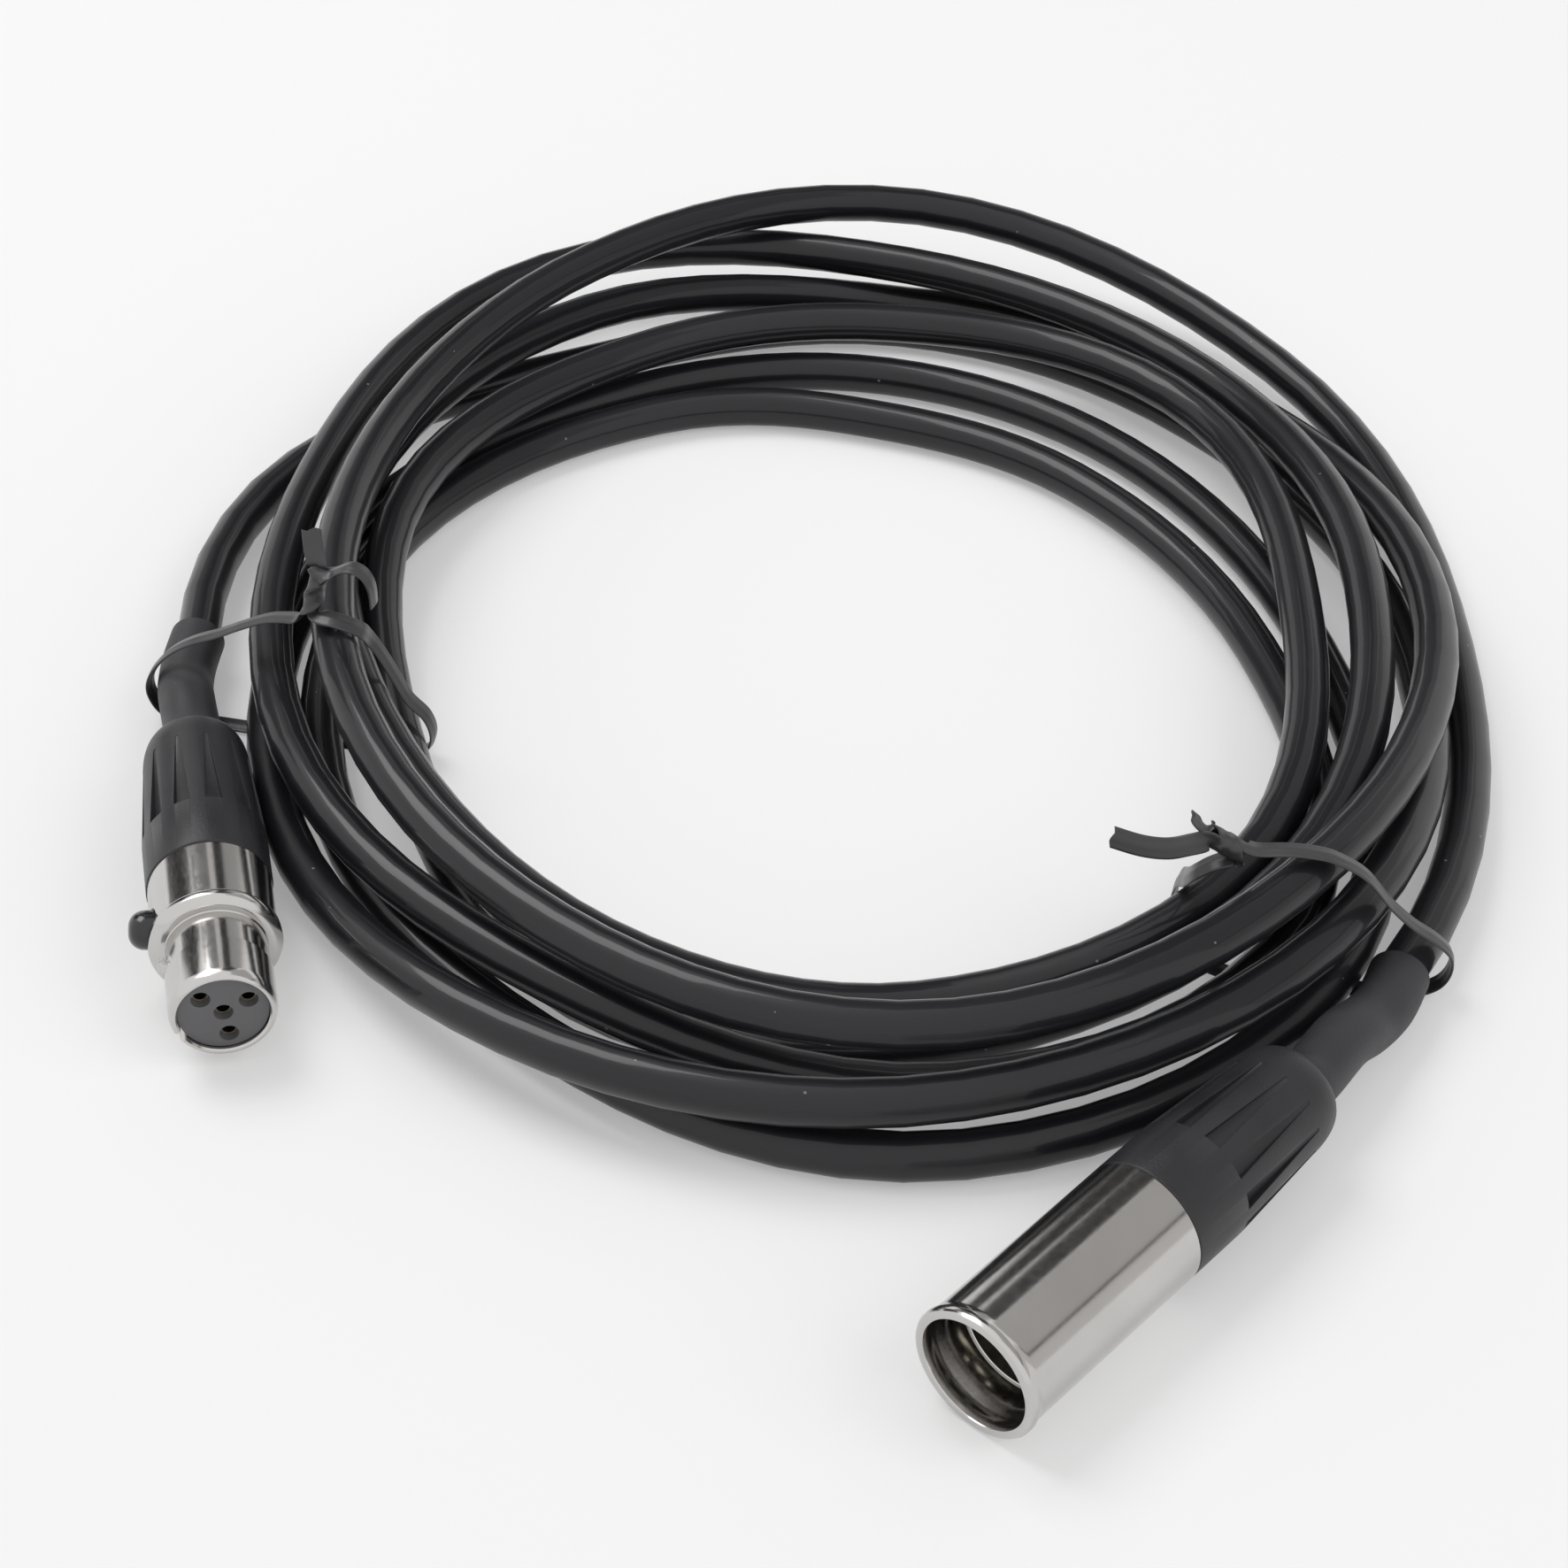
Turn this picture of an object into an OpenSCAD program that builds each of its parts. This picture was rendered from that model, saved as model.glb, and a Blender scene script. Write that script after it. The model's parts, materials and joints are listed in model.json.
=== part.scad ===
// Four-contact miniature XLR cable, wound into an oval coil and held by two twist ties.
// Both plugs and the coil lie on the plane z = 0, and the origin is under the coil's centre.

/* [Cable] */
// Outer diameter of the jacketed cable
cable_d = 3.8; // [3.2:0.1:3.9]
// Outer diameter of the shrink sleeves where the cable leaves the boots
sleeve_d = 4.8; // [4.4:0.1:4.9]
// Diameter of one insulated core inside the jacket
core_d = 0.65; // [0.5:0.05:0.65]

/* [Coil] */
// Half width of the oval that the loops follow
coil_half_w = 52; // [48:1:70]
// Half length of the oval that the loops follow
coil_half_l = 64; // [60:1:90]
// Least room left between two turns
turn_gap = 0.45; // [0.4:0.05:0.6]

/* [Plug bodies] */
// Outer diameter of the male shell and of both boots' front ends
shell_d = 10; // [9.6:0.1:10.2]
// Diameter of the rolled lip and of the flange, on which the plugs lie
rim_d = 10.4; // [10.3:0.1:11]
// Length of the male shell from its lip to the boot
male_shell_len = 18.7; // [17:0.1:22]
// Bore of the male mouth, which takes the female nose
mouth_bore_d = 8.8; // [8.75:0.05:8.9]
// Depth of the wide part of the male mouth, in front of the pins
mouth_depth = 4.4; // [4:0.1:4.6]
// Diameter of the female nose
nose_d = 8.3; // [8.1:0.05:8.35]
// Length of the female nose in front of its flange
nose_len = 7.7; // [7.4:0.1:9]
// Length of the female body between its flange and the boot
body_len = 6.6; // [6.2:0.1:9]
// Diameter of the female body behind its flange
body_d = 9.8; // [9.6:0.1:10.2]

/* [Contacts] */
// Diameter of a contact pin
pin_d = 1; // [0.9:0.02:1.04]
// Distance of the three outer contacts from the middle one
contact_ring_r = 2.2; // [2.15:0.05:2.3]
// Outer diameter of a socket contact and of a solder cup
socket_d = 1.4; // [1.3:0.05:1.45]

/* [Boots] */
// Length of a boot outside its shell
boot_len = 18.3; // [16:0.1:24]
// Diameter of the boot at the start of its rounded end
boot_rear_d = 8.8; // [8.4:0.1:9.4]
// Diameter of the boot's end face round the sleeve
boot_end_d = 6.9; // [6.4:0.1:7.4]
// Number of flutes round a boot
flute_count = 12; // [6:1:14]
// Plain length of the boot in front of its flutes
collar_len = 5.6; // [4:0.1:7]

/* [Latch] */
// Diameter of the push button
button_d = 3.1; // [2.6:0.1:3.3]
// Height of the button above the female body
button_rise = 1.7; // [1:0.1:2]
// Width of the spring lever that carries the button and the hook
lever_w = 1; // [0.8:0.05:1.1]

/* [Ties] */
// Width of the flat twist ties
tie_w = 1.7; // [1.4:0.1:2.5]
// Thickness of the flat twist ties
tie_t = 0.45; // [0.4:0.05:0.55]

/* [Hidden] */
$fn = 64;

// ---- the coil: seven turns laid over one another on an oval ----
// Nine marks a turn, every 40 degrees from 320. Each mark says how far the loop runs outside
// the oval and how high it is above lying on the table, in mm at the lay pitch of 4.2 mm.
MARKS = 9;
FIRST_ANGLE = 320;
LAY_PITCH = 4.2;
COIL_END = 59.5;
RINGS_A_TURN = 24;
TURNS_OUT = [
  [4.8, 3.3, 7.0, 5.6, -4.8, -7.8, -8.9, -9.2, -5.2],
  [-2.6, 0.6, 1.0, -2.0, -4.0, -5.6, -11.3, -15.1, -16.7],
  [-10.0, -10.7, -7.8, -13.4, -13.2, -10.3, -13.5, -11.4, -12.2],
  [-5.8, -5.2, -3.1, -2.0, 5.8, -0.8, -4.0, -8.2, -6.2],
  [-4.6, -13.9, -21.0, -24.5, -18.3, -9.5, -6.4, -6.1, -0.6],
  [0.2, -8.8, -14.0, -16.3, -13.5, -5.1, -2.0, -2.3, -2.2],
  [0.4, -1.0, -4.8, -6.8, -6.4, 5.0, 2.3, 2.3, 2.3]];
TURNS_UP = [
  [0.8, 0.1, 1.7, 7.3, 10.4, 9.7, 9.7, 8.8, 8.7],
  [8.6, 5.4, 0.0, 0.0, 4.3, 5.1, 5.1, 2.9, 0.0],
  [3.1, 5.1, 4.2, 4.4, 4.3, 4.5, 0.0, 0.0, 0.0],
  [4.5, 7.0, 4.3, 4.6, 4.2, 4.4, 4.3, 4.3, 1.5],
  [0.0, 0.0, 0.0, 0.0, 0.0, 0.0, 0.0, 0.0, 0.0],
  [0.0, 0.0, 0.0, 0.0, 0.0, 0.0, 0.0, 3.9, 4.4],
  [4.7, 1.1, 0.0, 0.0, 0.0, 0.7, 0.8, 0.8, 0.8]];
MARKS_OUT = [for (turn = TURNS_OUT) for (mark = turn) mark];
MARKS_UP = [for (turn = TURNS_UP) for (mark = turn) mark];

lay = (cable_d + turn_gap) / LAY_PITCH;
cable_r = cable_d / 2;
rest_up = cable_r * cos(30);      // axis height of a six-sided tube on its flat side
axis_up = rim_d / 2;              // axis height of both plugs

function mark_at(marks, i) = marks[min(max(i, 0), len(marks) - 1)];
// A Catmull-Rom curve through the marks
function curve(marks, s) =
  let (i = floor(s), t = s - i, p0 = mark_at(marks, i - 1), p1 = mark_at(marks, i),
       p2 = mark_at(marks, i + 1), p3 = mark_at(marks, i + 2))
  0.5 * (2 * p1 + (p2 - p0) * t + (2 * p0 - 5 * p1 + 4 * p2 - p3) * t * t
         + (3 * p1 - p0 - 3 * p2 + p3) * t * t * t);
// The loops rise a little where a tie passes under them
LEFT_TIE_ANGLE = 190;
RIGHT_TIE_ANGLE = 317;
RISE_ANGLE = 45;
tie_room = tie_t + 0.12;
function apart(a, b) = abs((a - b + 540) % 360 - 180);
function hump(a, b) = apart(a, b) < RISE_ANGLE ? (1 + cos(180 * apart(a, b) / RISE_ANGLE)) / 2 : 0;
function over_ties(a) = tie_room * min(1, hump(a, LEFT_TIE_ANGLE) + hump(a, RIGHT_TIE_ANGLE));
function coil_point(s) =
  let (angle = FIRST_ANGLE + 360 / MARKS * s, out = lay * curve(MARKS_OUT, s),
       up = lay * max(0, curve(MARKS_UP, s)) + over_ties(angle))
  [(coil_half_w + out) * cos(angle), (coil_half_l + out) * sin(angle), rest_up + up];

ring_count = ceil(COIL_END * RINGS_A_TURN / MARKS);
coil_path = [for (i = [0 : ring_count]) coil_point(COIL_END * i / ring_count)];
coil_start = coil_path[0];
coil_stop = coil_path[ring_count];

function unit(v) = v / norm(v);
function flat(v) = [v.x, v.y, 0];
start_way = unit(flat(coil_path[1] - coil_start));
stop_way = unit(flat(coil_stop - coil_path[ring_count - 1]));
// Each end runs straight for one diameter
coil_in = coil_start - start_way * cable_d;
coil_out = coil_stop + stop_way * cable_d;
coil_route = concat([coil_in], coil_path, [coil_out]);

// ---- inside sizes ----
FIT = 0.1;                        // room round pieces that slide together
SEAT_LEN = 0.7;                   // length of the female body's seat for its boot

// ---- where the plugs lie: their rears are placed from the coil's ends ----
male_rear = flat(coil_in) + [-8.6, -11.2, axis_up];
male_dir = 227.4;
female_rear = flat(coil_out) + [2.9, -14.8, axis_up];
female_dir = 282.3;
function heading(a) = [cos(a), sin(a), 0];
male_way = heading(male_dir);
female_way = heading(female_dir);
male_seat = male_rear + male_way * boot_len;
female_flange = female_rear + female_way * (boot_len + body_len + SEAT_LEN);

SPIGOT = 3;                       // how far a boot screws into its shell
SHELL_WALL = 0.65;
spigot_d = shell_d - 2.1;
bore_d = spigot_d + 2 * 0.05;
JACKET_END = 2.2;                 // how far inside the boot the jacket is cut back
lead_in = JACKET_END;
MALE_KEY = 97;                    // angles round a plug's axis, from the top to its right
FEMALE_KEY = 115;
LATCH_AT = 80;
contact_angles = [-70, 70, 180];

// ---- free cable from each coil end into its boot ----
male_lead_route = [
  coil_in,
  coil_in + [-1.9, -2.5, 0.2],
  coil_in + [-4.3, -5.6, 1.6],
  male_rear - male_way * 2.2 + [0, 0, -0.3],
  male_rear,
  male_rear + male_way * 6,
  male_rear + male_way * (boot_len - lead_in)];
female_lead_route = [
  coil_out,
  coil_out + [0.2, -3.4, 0.1],
  coil_out + [1.1, -7.4, 1.5],
  female_rear - female_way * 3 + [0, 0, -0.4],
  female_rear,
  female_rear + female_way * 6,
  female_rear + female_way * (boot_len - lead_in)];

// ---- tubes along a route ----
function way_at(route, i) =
  unit(route[min(i + 1, len(route) - 1)] - route[max(i - 1, 0)]);
// One ring of points across the route, with a flat side down
function ring(centre, way, r, sides) =
  let (side = unit(cross(way, [0, 0, 1])), up = cross(side, way))
  [for (k = [0 : sides - 1]) centre + r * (cos(360 * k / sides) * side + sin(360 * k / sides) * up)];
function rings_of(route, first_way, last_way, r, sides) =
  [for (i = [0 : len(route) - 1])
     let (way = i == 0 ? first_way : i == len(route) - 1 ? last_way : way_at(route, i))
     each ring(route[i], way, r, sides)];
function skin(rows, sides, base, flip) =
  [for (i = [0 : rows - 2], k = [0 : sides - 1])
     let (a = base + i * sides + k, b = base + i * sides + (k + 1) % sides, c = a + sides, d = b + sides)
     each flip ? [[a, b, d], [a, d, c]] : [[a, d, b], [a, c, d]]];
function cap(first, sides, flip) =
  [for (k = [1 : sides - 2]) flip ? [first, first + k + 1, first + k] : [first, first + k, first + k + 1]];

module tube(route, first_way, last_way, r, sides) {
  points = rings_of(route, first_way, last_way, r, sides);
  rows = len(route);
  polyhedron(points, concat(skin(rows, sides, 0, false), cap(0, sides, false),
                            cap((rows - 1) * sides, sides, true)));
}

module hollow_tube(route, first_way, last_way, r_out, r_in, sides) {
  rows = len(route);
  n = rows * sides;
  points = concat(rings_of(route, first_way, last_way, r_out, sides),
                  rings_of(route, first_way, last_way, r_in, sides));
  last = n - sides;
  ends = [for (k = [0 : sides - 1])
    let (a = k, b = (k + 1) % sides)
    each [[a, b, n + b], [a, n + b, n + a],
          [last + a, n + last + b, last + b], [last + a, n + last + a, n + last + b]]];
  polyhedron(points, concat(skin(rows, sides, 0, false), skin(rows, sides, n, true), ends));
}

// Rounds the corners of a hand-laid route by points on a Catmull-Rom curve
function smooth(route, steps) =
  [for (i = [0 : (len(route) - 1) * steps]) curve(route, i / steps)];
LEAD_SIDES = 8;
LEAD_STEPS = 3;
male_lead_curve = smooth(male_lead_route, LEAD_STEPS);
female_lead_curve = smooth(female_lead_route, LEAD_STEPS);

// ---- the least room between two turns, measured on the route ----
function to_line(p, a, b) =
  let (t = min(1, max(0, (p - a) * (b - a) / ((b - a) * (b - a))))) norm(p - a - (b - a) * t);
NEAR_RINGS = 12;
turn_distances = [for (i = [0 : ring_count], j = [i + NEAR_RINGS : ring_count - 1])
  if (abs((i - j) % RINGS_A_TURN) < 3 || abs((i - j) % RINGS_A_TURN) > RINGS_A_TURN - 3)
    to_line(coil_path[i], coil_path[j], coil_path[j + 1])];
least_gap = min(turn_distances) - cable_d;
function sum(v, i = 0, total = 0) = i == len(v) ? total : sum(v, i + 1, total + v[i]);
coil_length = sum([for (i = [1 : len(coil_route) - 1]) norm(coil_route[i] - coil_route[i - 1])]);
echo(least_gap_between_turns_mm = least_gap, cable_in_coil_mm = coil_length);

module cable_coil() {
  color([0.06, 0.06, 0.07]) tube(coil_route, start_way, stop_way, cable_r, 6);
}

module lead(route, first_way, last_way) {
  color([0.06, 0.06, 0.07]) tube(route, first_way, last_way, cable_r, LEAD_SIDES);
}

module male_lead() {
  lead(male_lead_curve, -start_way, male_way);
}

module female_lead() {
  lead(female_lead_curve, stop_way, female_way);
}

// The shrink sleeve covers the coil's straight end and the free cable, and ends inside the boot
module sleeve(end, route, first_way) {
  stop = 4 * LEAD_STEPS + 1;
  covered = concat([end], [for (i = [0 : stop]) route[i]]);
  color([0.11, 0.11, 0.12])
    hollow_tube(covered, first_way, way_at(route, stop), sleeve_d / 2, cable_r + 2 * FIT, LEAD_SIDES);
}

module male_sleeve() {
  sleeve(coil_start, male_lead_curve, -start_way);
}

module female_sleeve() {
  sleeve(coil_stop, female_lead_curve, stop_way);
}

// ---- plugs: drawn along +Z, with +X upwards and +Y to the right of the way they point ----
module on_plug(seat, dir) {
  translate(seat) rotate([0, 0, dir]) rotate([0, 90, 0]) rotate([0, 0, 180]) children();
}

module on_male() {
  on_plug(male_seat, male_dir) children();
}

module on_female() {
  on_plug(female_flange, female_dir) children();
}

function contact_place(key, n) =
  n == 0 ? [0, 0] : contact_ring_r * [cos(key + contact_angles[n - 1]), sin(key + contact_angles[n - 1])];

// Strain relief boot: spigot at z > 0, rounded rear end at z = -boot_len
BOOT_DOME = 3.2;
boot_round = (boot_rear_d - boot_end_d) / 2;
boot_outline = concat(
  [[0, SPIGOT], [spigot_d / 2 - 0.3, SPIGOT], [spigot_d / 2, SPIGOT - 0.3], [spigot_d / 2, 0],
   [shell_d / 2, 0], [shell_d / 2, -collar_len]],
  [for (a = [0 : 15 : 90]) [boot_end_d / 2 + boot_round * cos(a), -boot_len + BOOT_DOME * (1 - sin(a))]],
  [[0, -boot_len]]);

module boot() {
  flute_floor = boot_rear_d / 2 - 0.05;
  flute_end = boot_len - BOOT_DOME - 0.1;
  color([0.13, 0.13, 0.14]) difference() {
    rotate_extrude() difference() {
      polygon(boot_outline);
      translate([0, -boot_len - 1]) square([sleeve_d / 2 + FIT, 9.6]);
      translate([0, -boot_len + 8]) square([clamp_d / 2 + FIT, boot_len + SPIGOT]);
    }
    for (i = [0 : flute_count - 1]) rotate([0, 0, 360 * (i + 0.5) / flute_count])
      translate([flute_floor, 0, 0]) rotate([0, 90, 0]) linear_extrude(shell_d / 2)
        polygon([[collar_len, -0.7], [collar_len, 0.7], [flute_end, 0.15], [flute_end, -0.15]]);
  }
}
clamp_d = 6.4;

// Split collet that the boot squeezes onto the jacket
module clamp() {
  clamp_len = boot_len - 8 - 2.4;
  color([0.85, 0.85, 0.8]) translate([0, 0, -2 - clamp_len]) difference() {
    cylinder(d = clamp_d, h = clamp_len);
    translate([0, 0, -1]) cylinder(r = cable_r + 0.02, h = clamp_len + 2);
    for (a = [0, 90]) rotate([0, 0, a]) translate([-clamp_d, -0.3, -1])
      cube([2 * clamp_d, 0.6, clamp_len - 1]);
  }
}

// Four insulated cores from the cut end of the jacket to the solder cups
module cores(key, cups_z) {
  start_z = -lead_in + 0.1;
  spread = (cable_r - core_d / 2 - 0.25);
  color([0.7, 0.2, 0.15]) for (n = [0 : 3]) {
    cup = contact_place(key, n);
    root = n == 0 ? [0, 0] : unit(cup) * min(spread, norm(cup));
    reach = [cup.x - root.x, cup.y - root.y, cups_z - 0.15 - start_z];
    tilt = acos(reach.z / norm(reach));
    turn = atan2(reach.y, reach.x);
    translate([root.x, root.y, start_z]) rotate([0, tilt, turn])
      cylinder(d = core_d, h = norm(reach), $fn = 24);
  }
}

// ---- male plug: z = 0 where the shell meets the boot, mouth at z = male_shell_len ----
INSERT_DEPTH = 9.5;               // from the lip to the face that the pins stand on
insert_front = male_shell_len - INSERT_DEPTH;
insert_back = SPIGOT + 0.9;
inner_bore_d = mouth_bore_d - 0.4;
pin_tip = male_shell_len - mouth_depth - 0.4;
CUP_LEN = 2.4;
RIB_W = 0.9;
CATCH_DEPTH = 2.2;                // from the lip to the far side of the latch's catch groove
CATCH_W = 1.2;

module male_shell() {
  lip = 0.8;
  catch_z = male_shell_len - CATCH_DEPTH;
  color([0.78, 0.78, 0.8]) on_male() {
    difference() {
      rotate_extrude() difference() {
        union() {
          square([shell_d / 2, male_shell_len - lip]);
          polygon([[0, male_shell_len - lip - 0.3], [shell_d / 2, male_shell_len - lip - 0.3],
                   [rim_d / 2, male_shell_len - lip], [rim_d / 2, male_shell_len - 0.3],
                   [rim_d / 2 - 0.3, male_shell_len], [0, male_shell_len]]);
        }
        translate([0, -1]) square([bore_d / 2, insert_back + 2]);
        translate([0, insert_back]) square([inner_bore_d / 2, male_shell_len]);
        translate([0, male_shell_len - mouth_depth]) square([mouth_bore_d / 2, mouth_depth + 1]);
        translate([0, catch_z]) square([mouth_bore_d / 2 + 0.25, CATCH_W]);
      }
    }
    rotate([0, 0, MALE_KEY]) translate([inner_bore_d / 2 - 0.6, -RIB_W / 2, insert_front + 0.05])
      cube([0.7, RIB_W, male_shell_len - mouth_depth - insert_front - 0.05]);
  }
}

module male_insert() {
  color([0.2, 0.2, 0.22]) on_male() difference() {
    union() {
      translate([0, 0, SPIGOT + 0.1]) cylinder(d = bore_d - FIT, h = insert_front - SPIGOT - 0.1);
      translate([0, 0, insert_back + 0.05])
        cylinder(d = inner_bore_d - FIT, h = insert_front - insert_back - 0.05);
    }
    for (n = [0 : 3]) translate(contact_place(MALE_KEY, n))
      cylinder(d = socket_d + 0.04, h = male_shell_len);
    // Slot that lets the insert pass the rib
    rotate([0, 0, MALE_KEY]) translate([inner_bore_d / 2 - 0.6 - FIT, -RIB_W / 2 - FIT, insert_back])
      cube([2, RIB_W + 2 * FIT, male_shell_len]);
  }
}

module male_pin(n) {
  color([0.85, 0.75, 0.45]) on_male() translate(contact_place(MALE_KEY, n)) {
    translate([0, 0, SPIGOT + 0.6]) cylinder(d = socket_d, h = insert_front - SPIGOT - 0.6);
    translate([0, 0, insert_front - 0.1]) cylinder(d = pin_d, h = pin_tip - insert_front - 0.2);
    translate([0, 0, pin_tip - 0.3]) cylinder(d1 = pin_d, d2 = pin_d - 0.5, h = 0.3);
    translate([0, 0, SPIGOT + 0.7 - CUP_LEN]) difference() {
      cylinder(d = socket_d, h = CUP_LEN);
      translate([0, 0, -1]) cylinder(d = core_d + FIT, h = CUP_LEN - 0.2);
    }
  }
}

module male_cores() {
  on_male() cores(MALE_KEY, SPIGOT + 0.7 - CUP_LEN);
}

module male_clamp() {
  on_male() clamp();
}

module male_boot() {
  on_male() boot();
}

// ---- female plug: z = 0 at the front face of its flange, boot at z = -body_len ----
back_z = -body_len - SEAT_LEN;
nose_bore_d = nose_d - 2 * SHELL_WALL;
nose_front = nose_len;
shoulder_z = back_z + SPIGOT + 1.3;
insert_rear_z = back_z + SPIGOT + 0.1;
hook_z = 1.6;
button_z = -2.4;
lever_in = nose_bore_d / 2 - 0.75;
LEVER_T = 0.25;
pivot_z = back_z + 0.9;

module female_shell() {
  color([0.78, 0.78, 0.8]) on_female() difference() {
    rotate_extrude() difference() {
      polygon([[0, back_z], [body_d / 2, back_z], [body_d / 2, -1.4], [rim_d / 2, -1.2], [rim_d / 2, -0.5],
               [nose_d / 2 + 0.45, 0], [nose_d / 2 - 0.2, 0], [nose_d / 2 - 0.2, 3.15], [nose_d / 2, 3.3],
               [nose_d / 2, nose_front - 0.4], [nose_d / 2 - 0.3, nose_front], [0, nose_front]]);
      translate([0, back_z - 1]) square([bore_d / 2, shoulder_z - back_z + 1]);
      translate([0, back_z]) square([nose_bore_d / 2, nose_front - back_z + 1]);
    }
    rotate([0, 0, FEMALE_KEY]) translate([0, -0.5, 1.4]) cube([nose_d, 1, nose_front]);
    rotate([0, 0, LATCH_AT]) translate([0, -lever_w / 2 - 0.15, hook_z - 0.35])
      cube([nose_d, lever_w + 0.3, 2.0]);
    rotate([0, 0, LATCH_AT]) translate([0, 0, button_z]) rotate([0, 90, 0])
      cylinder(d = button_d + 3 * FIT, h = body_d);
  }
}

module female_insert() {
  color([0.3, 0.3, 0.33]) on_female() difference() {
    union() {
      translate([0, 0, insert_rear_z])
        cylinder(d = nose_bore_d - FIT, h = nose_front - 0.45 - insert_rear_z);
      translate([0, 0, insert_rear_z]) cylinder(d = bore_d - FIT, h = shoulder_z - 0.05 - insert_rear_z);
    }
    for (n = [0 : 3]) translate([each contact_place(FEMALE_KEY, n), back_z])
      cylinder(d = socket_d + FIT, h = 30);
    rotate([0, 0, LATCH_AT]) translate([lever_in - 0.6, -lever_w / 2 - FIT, back_z])
      cube([5, lever_w + 2 * FIT, 3.7 - back_z]);
    rotate([0, 0, LATCH_AT]) translate([nose_bore_d / 2 + 0.02, 0, button_z]) rotate([0, 90, 0])
      cylinder(d = button_d + 4 * FIT, h = 5);
  }
}

module female_socket(n) {
  top = nose_front - 1.1;
  bottom = back_z + SPIGOT - CUP_LEN + 1.2;
  color([0.85, 0.75, 0.45]) on_female() translate([each contact_place(FEMALE_KEY, n), bottom]) difference() {
    cylinder(d = socket_d, h = top - bottom);
    translate([0, 0, top - bottom - 6]) cylinder(d = pin_d + 0.04, h = 7);
    translate([0, 0, -1]) cylinder(d = core_d + FIT, h = CUP_LEN - 0.2);
  }
}

module female_cores() {
  on_female() translate([0, 0, back_z]) cores(FEMALE_KEY, SPIGOT - CUP_LEN + 1.2);
}

module female_clamp() {
  on_female() translate([0, 0, back_z]) clamp();
}

module female_boot() {
  on_female() translate([0, 0, back_z]) boot();
}

// Spring lever in a groove of the insert, with the hook that stands out of the nose
module latch_lever() {
  tip_z = hook_z + 1.3;
  hook_out = nose_d / 2 + 0.45 - lever_in;
  color([0.7, 0.7, 0.72]) on_female() rotate([0, 0, LATCH_AT]) translate([lever_in, 0, 0]) {
    translate([0, -lever_w / 2, pivot_z - 0.5]) cube([LEVER_T, lever_w, tip_z - pivot_z + 0.5]);
    // Roll that the lever turns on
    translate([LEVER_T / 2, lever_w / 2, pivot_z]) rotate([90, 0, 0]) cylinder(r = 0.2, h = lever_w);
    translate([0, lever_w / 2, 0]) rotate([90, 0, 0]) linear_extrude(lever_w)
      polygon([[0, hook_z], [hook_out, hook_z], [hook_out, hook_z + 0.35], [LEVER_T, tip_z], [0, tip_z]]);
  }
}

// Domed push button on a stem that stands on the lever
module latch_button() {
  top = body_d / 2 + button_rise;
  foot = nose_bore_d / 2 + 0.35;
  edge = 0.8;
  color([0.08, 0.08, 0.09]) on_female() rotate([0, 0, LATCH_AT]) translate([0, 0, button_z])
    rotate([0, 90, 0]) rotate_extrude() union() {
      translate([0, foot]) square([button_d / 2, top - edge - foot]);
      translate([0, top - edge - 0.01]) square([button_d / 2 - edge, edge + 0.01]);
      translate([button_d / 2 - edge, top - edge]) intersection() {
        circle(r = edge);
        square(edge + 1);
      }
      translate([0, lever_in + LEVER_T]) square([lever_w / 2 - 0.05, foot + 0.2 - lever_in - LEVER_T]);
    }
}

// ---- twist ties: a loose band round the bundle, drawn together in a twist that ends in a flat tail ----
function on_oval(a) = [coil_half_w * cos(a), coil_half_l * sin(a), 0];
left_tie_at = on_oval(LEFT_TIE_ANGLE) + [3.2, 1.3, 0];
left_tie_way = unit([-0.97, 0.24, 0]);
right_tie_at = on_oval(RIGHT_TIE_ANGLE) + [-1.5, 1.3, 0];
right_tie_way = unit([1, -0.06, 0]);
TIE_REACH = 20;
TIE_ROOM = 0.2;                   // room between a tie and what it holds

// Beads that fill the part of a cable inside a tie's band, as [distance outward, height, radius]
function beads(route, r, at, way) =
  let (across = cross([0, 0, 1], way))
  [for (i = [0 : len(route) - 2])
     let (step = route[i + 1] - route[i], count = ceil(norm(step) / 0.6))
     for (k = [0 : count - 1])
       let (p = route[i] + step * k / count, off = max(0, abs((p - at) * across) - tie_w / 2))
       if (off < r && norm(flat(p - at)) < TIE_REACH) [(p - at) * way, p.z, sqrt(r * r - off * off)]];
function held_by(at, way) =
  concat(beads(coil_route, cable_r, at, way), beads(male_lead_curve, sleeve_d / 2, at, way),
         beads(female_lead_curve, sleeve_d / 2, at, way));
function top_of(held) = max([for (bead = held) bead.y + bead.z]);

// A tie's opening: it clears what it holds and stands up to the points in crests
module tie_outline(held, crests, grow) {
  intersection() {
    hull() {
      for (bead = held) translate([bead.x, bead.y]) circle(r = bead.z + TIE_ROOM + grow, $fn = 12);
      for (crest = crests) translate([crest.x, top_of(held) + crest.y]) circle(r = 0.6 + grow, $fn = 12);
    }
    translate([-40, tie_t - grow]) square([80, 60]);
  }
}

// The upright plane of a tie, with X outward and Y up
module in_tie_plane(at, way) {
  multmatrix([[way.x, 0, way.y, at.x], [way.y, 0, -way.x, at.y], [0, 1, 0, 0], [0, 0, 0, 1]]) children();
}

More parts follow.
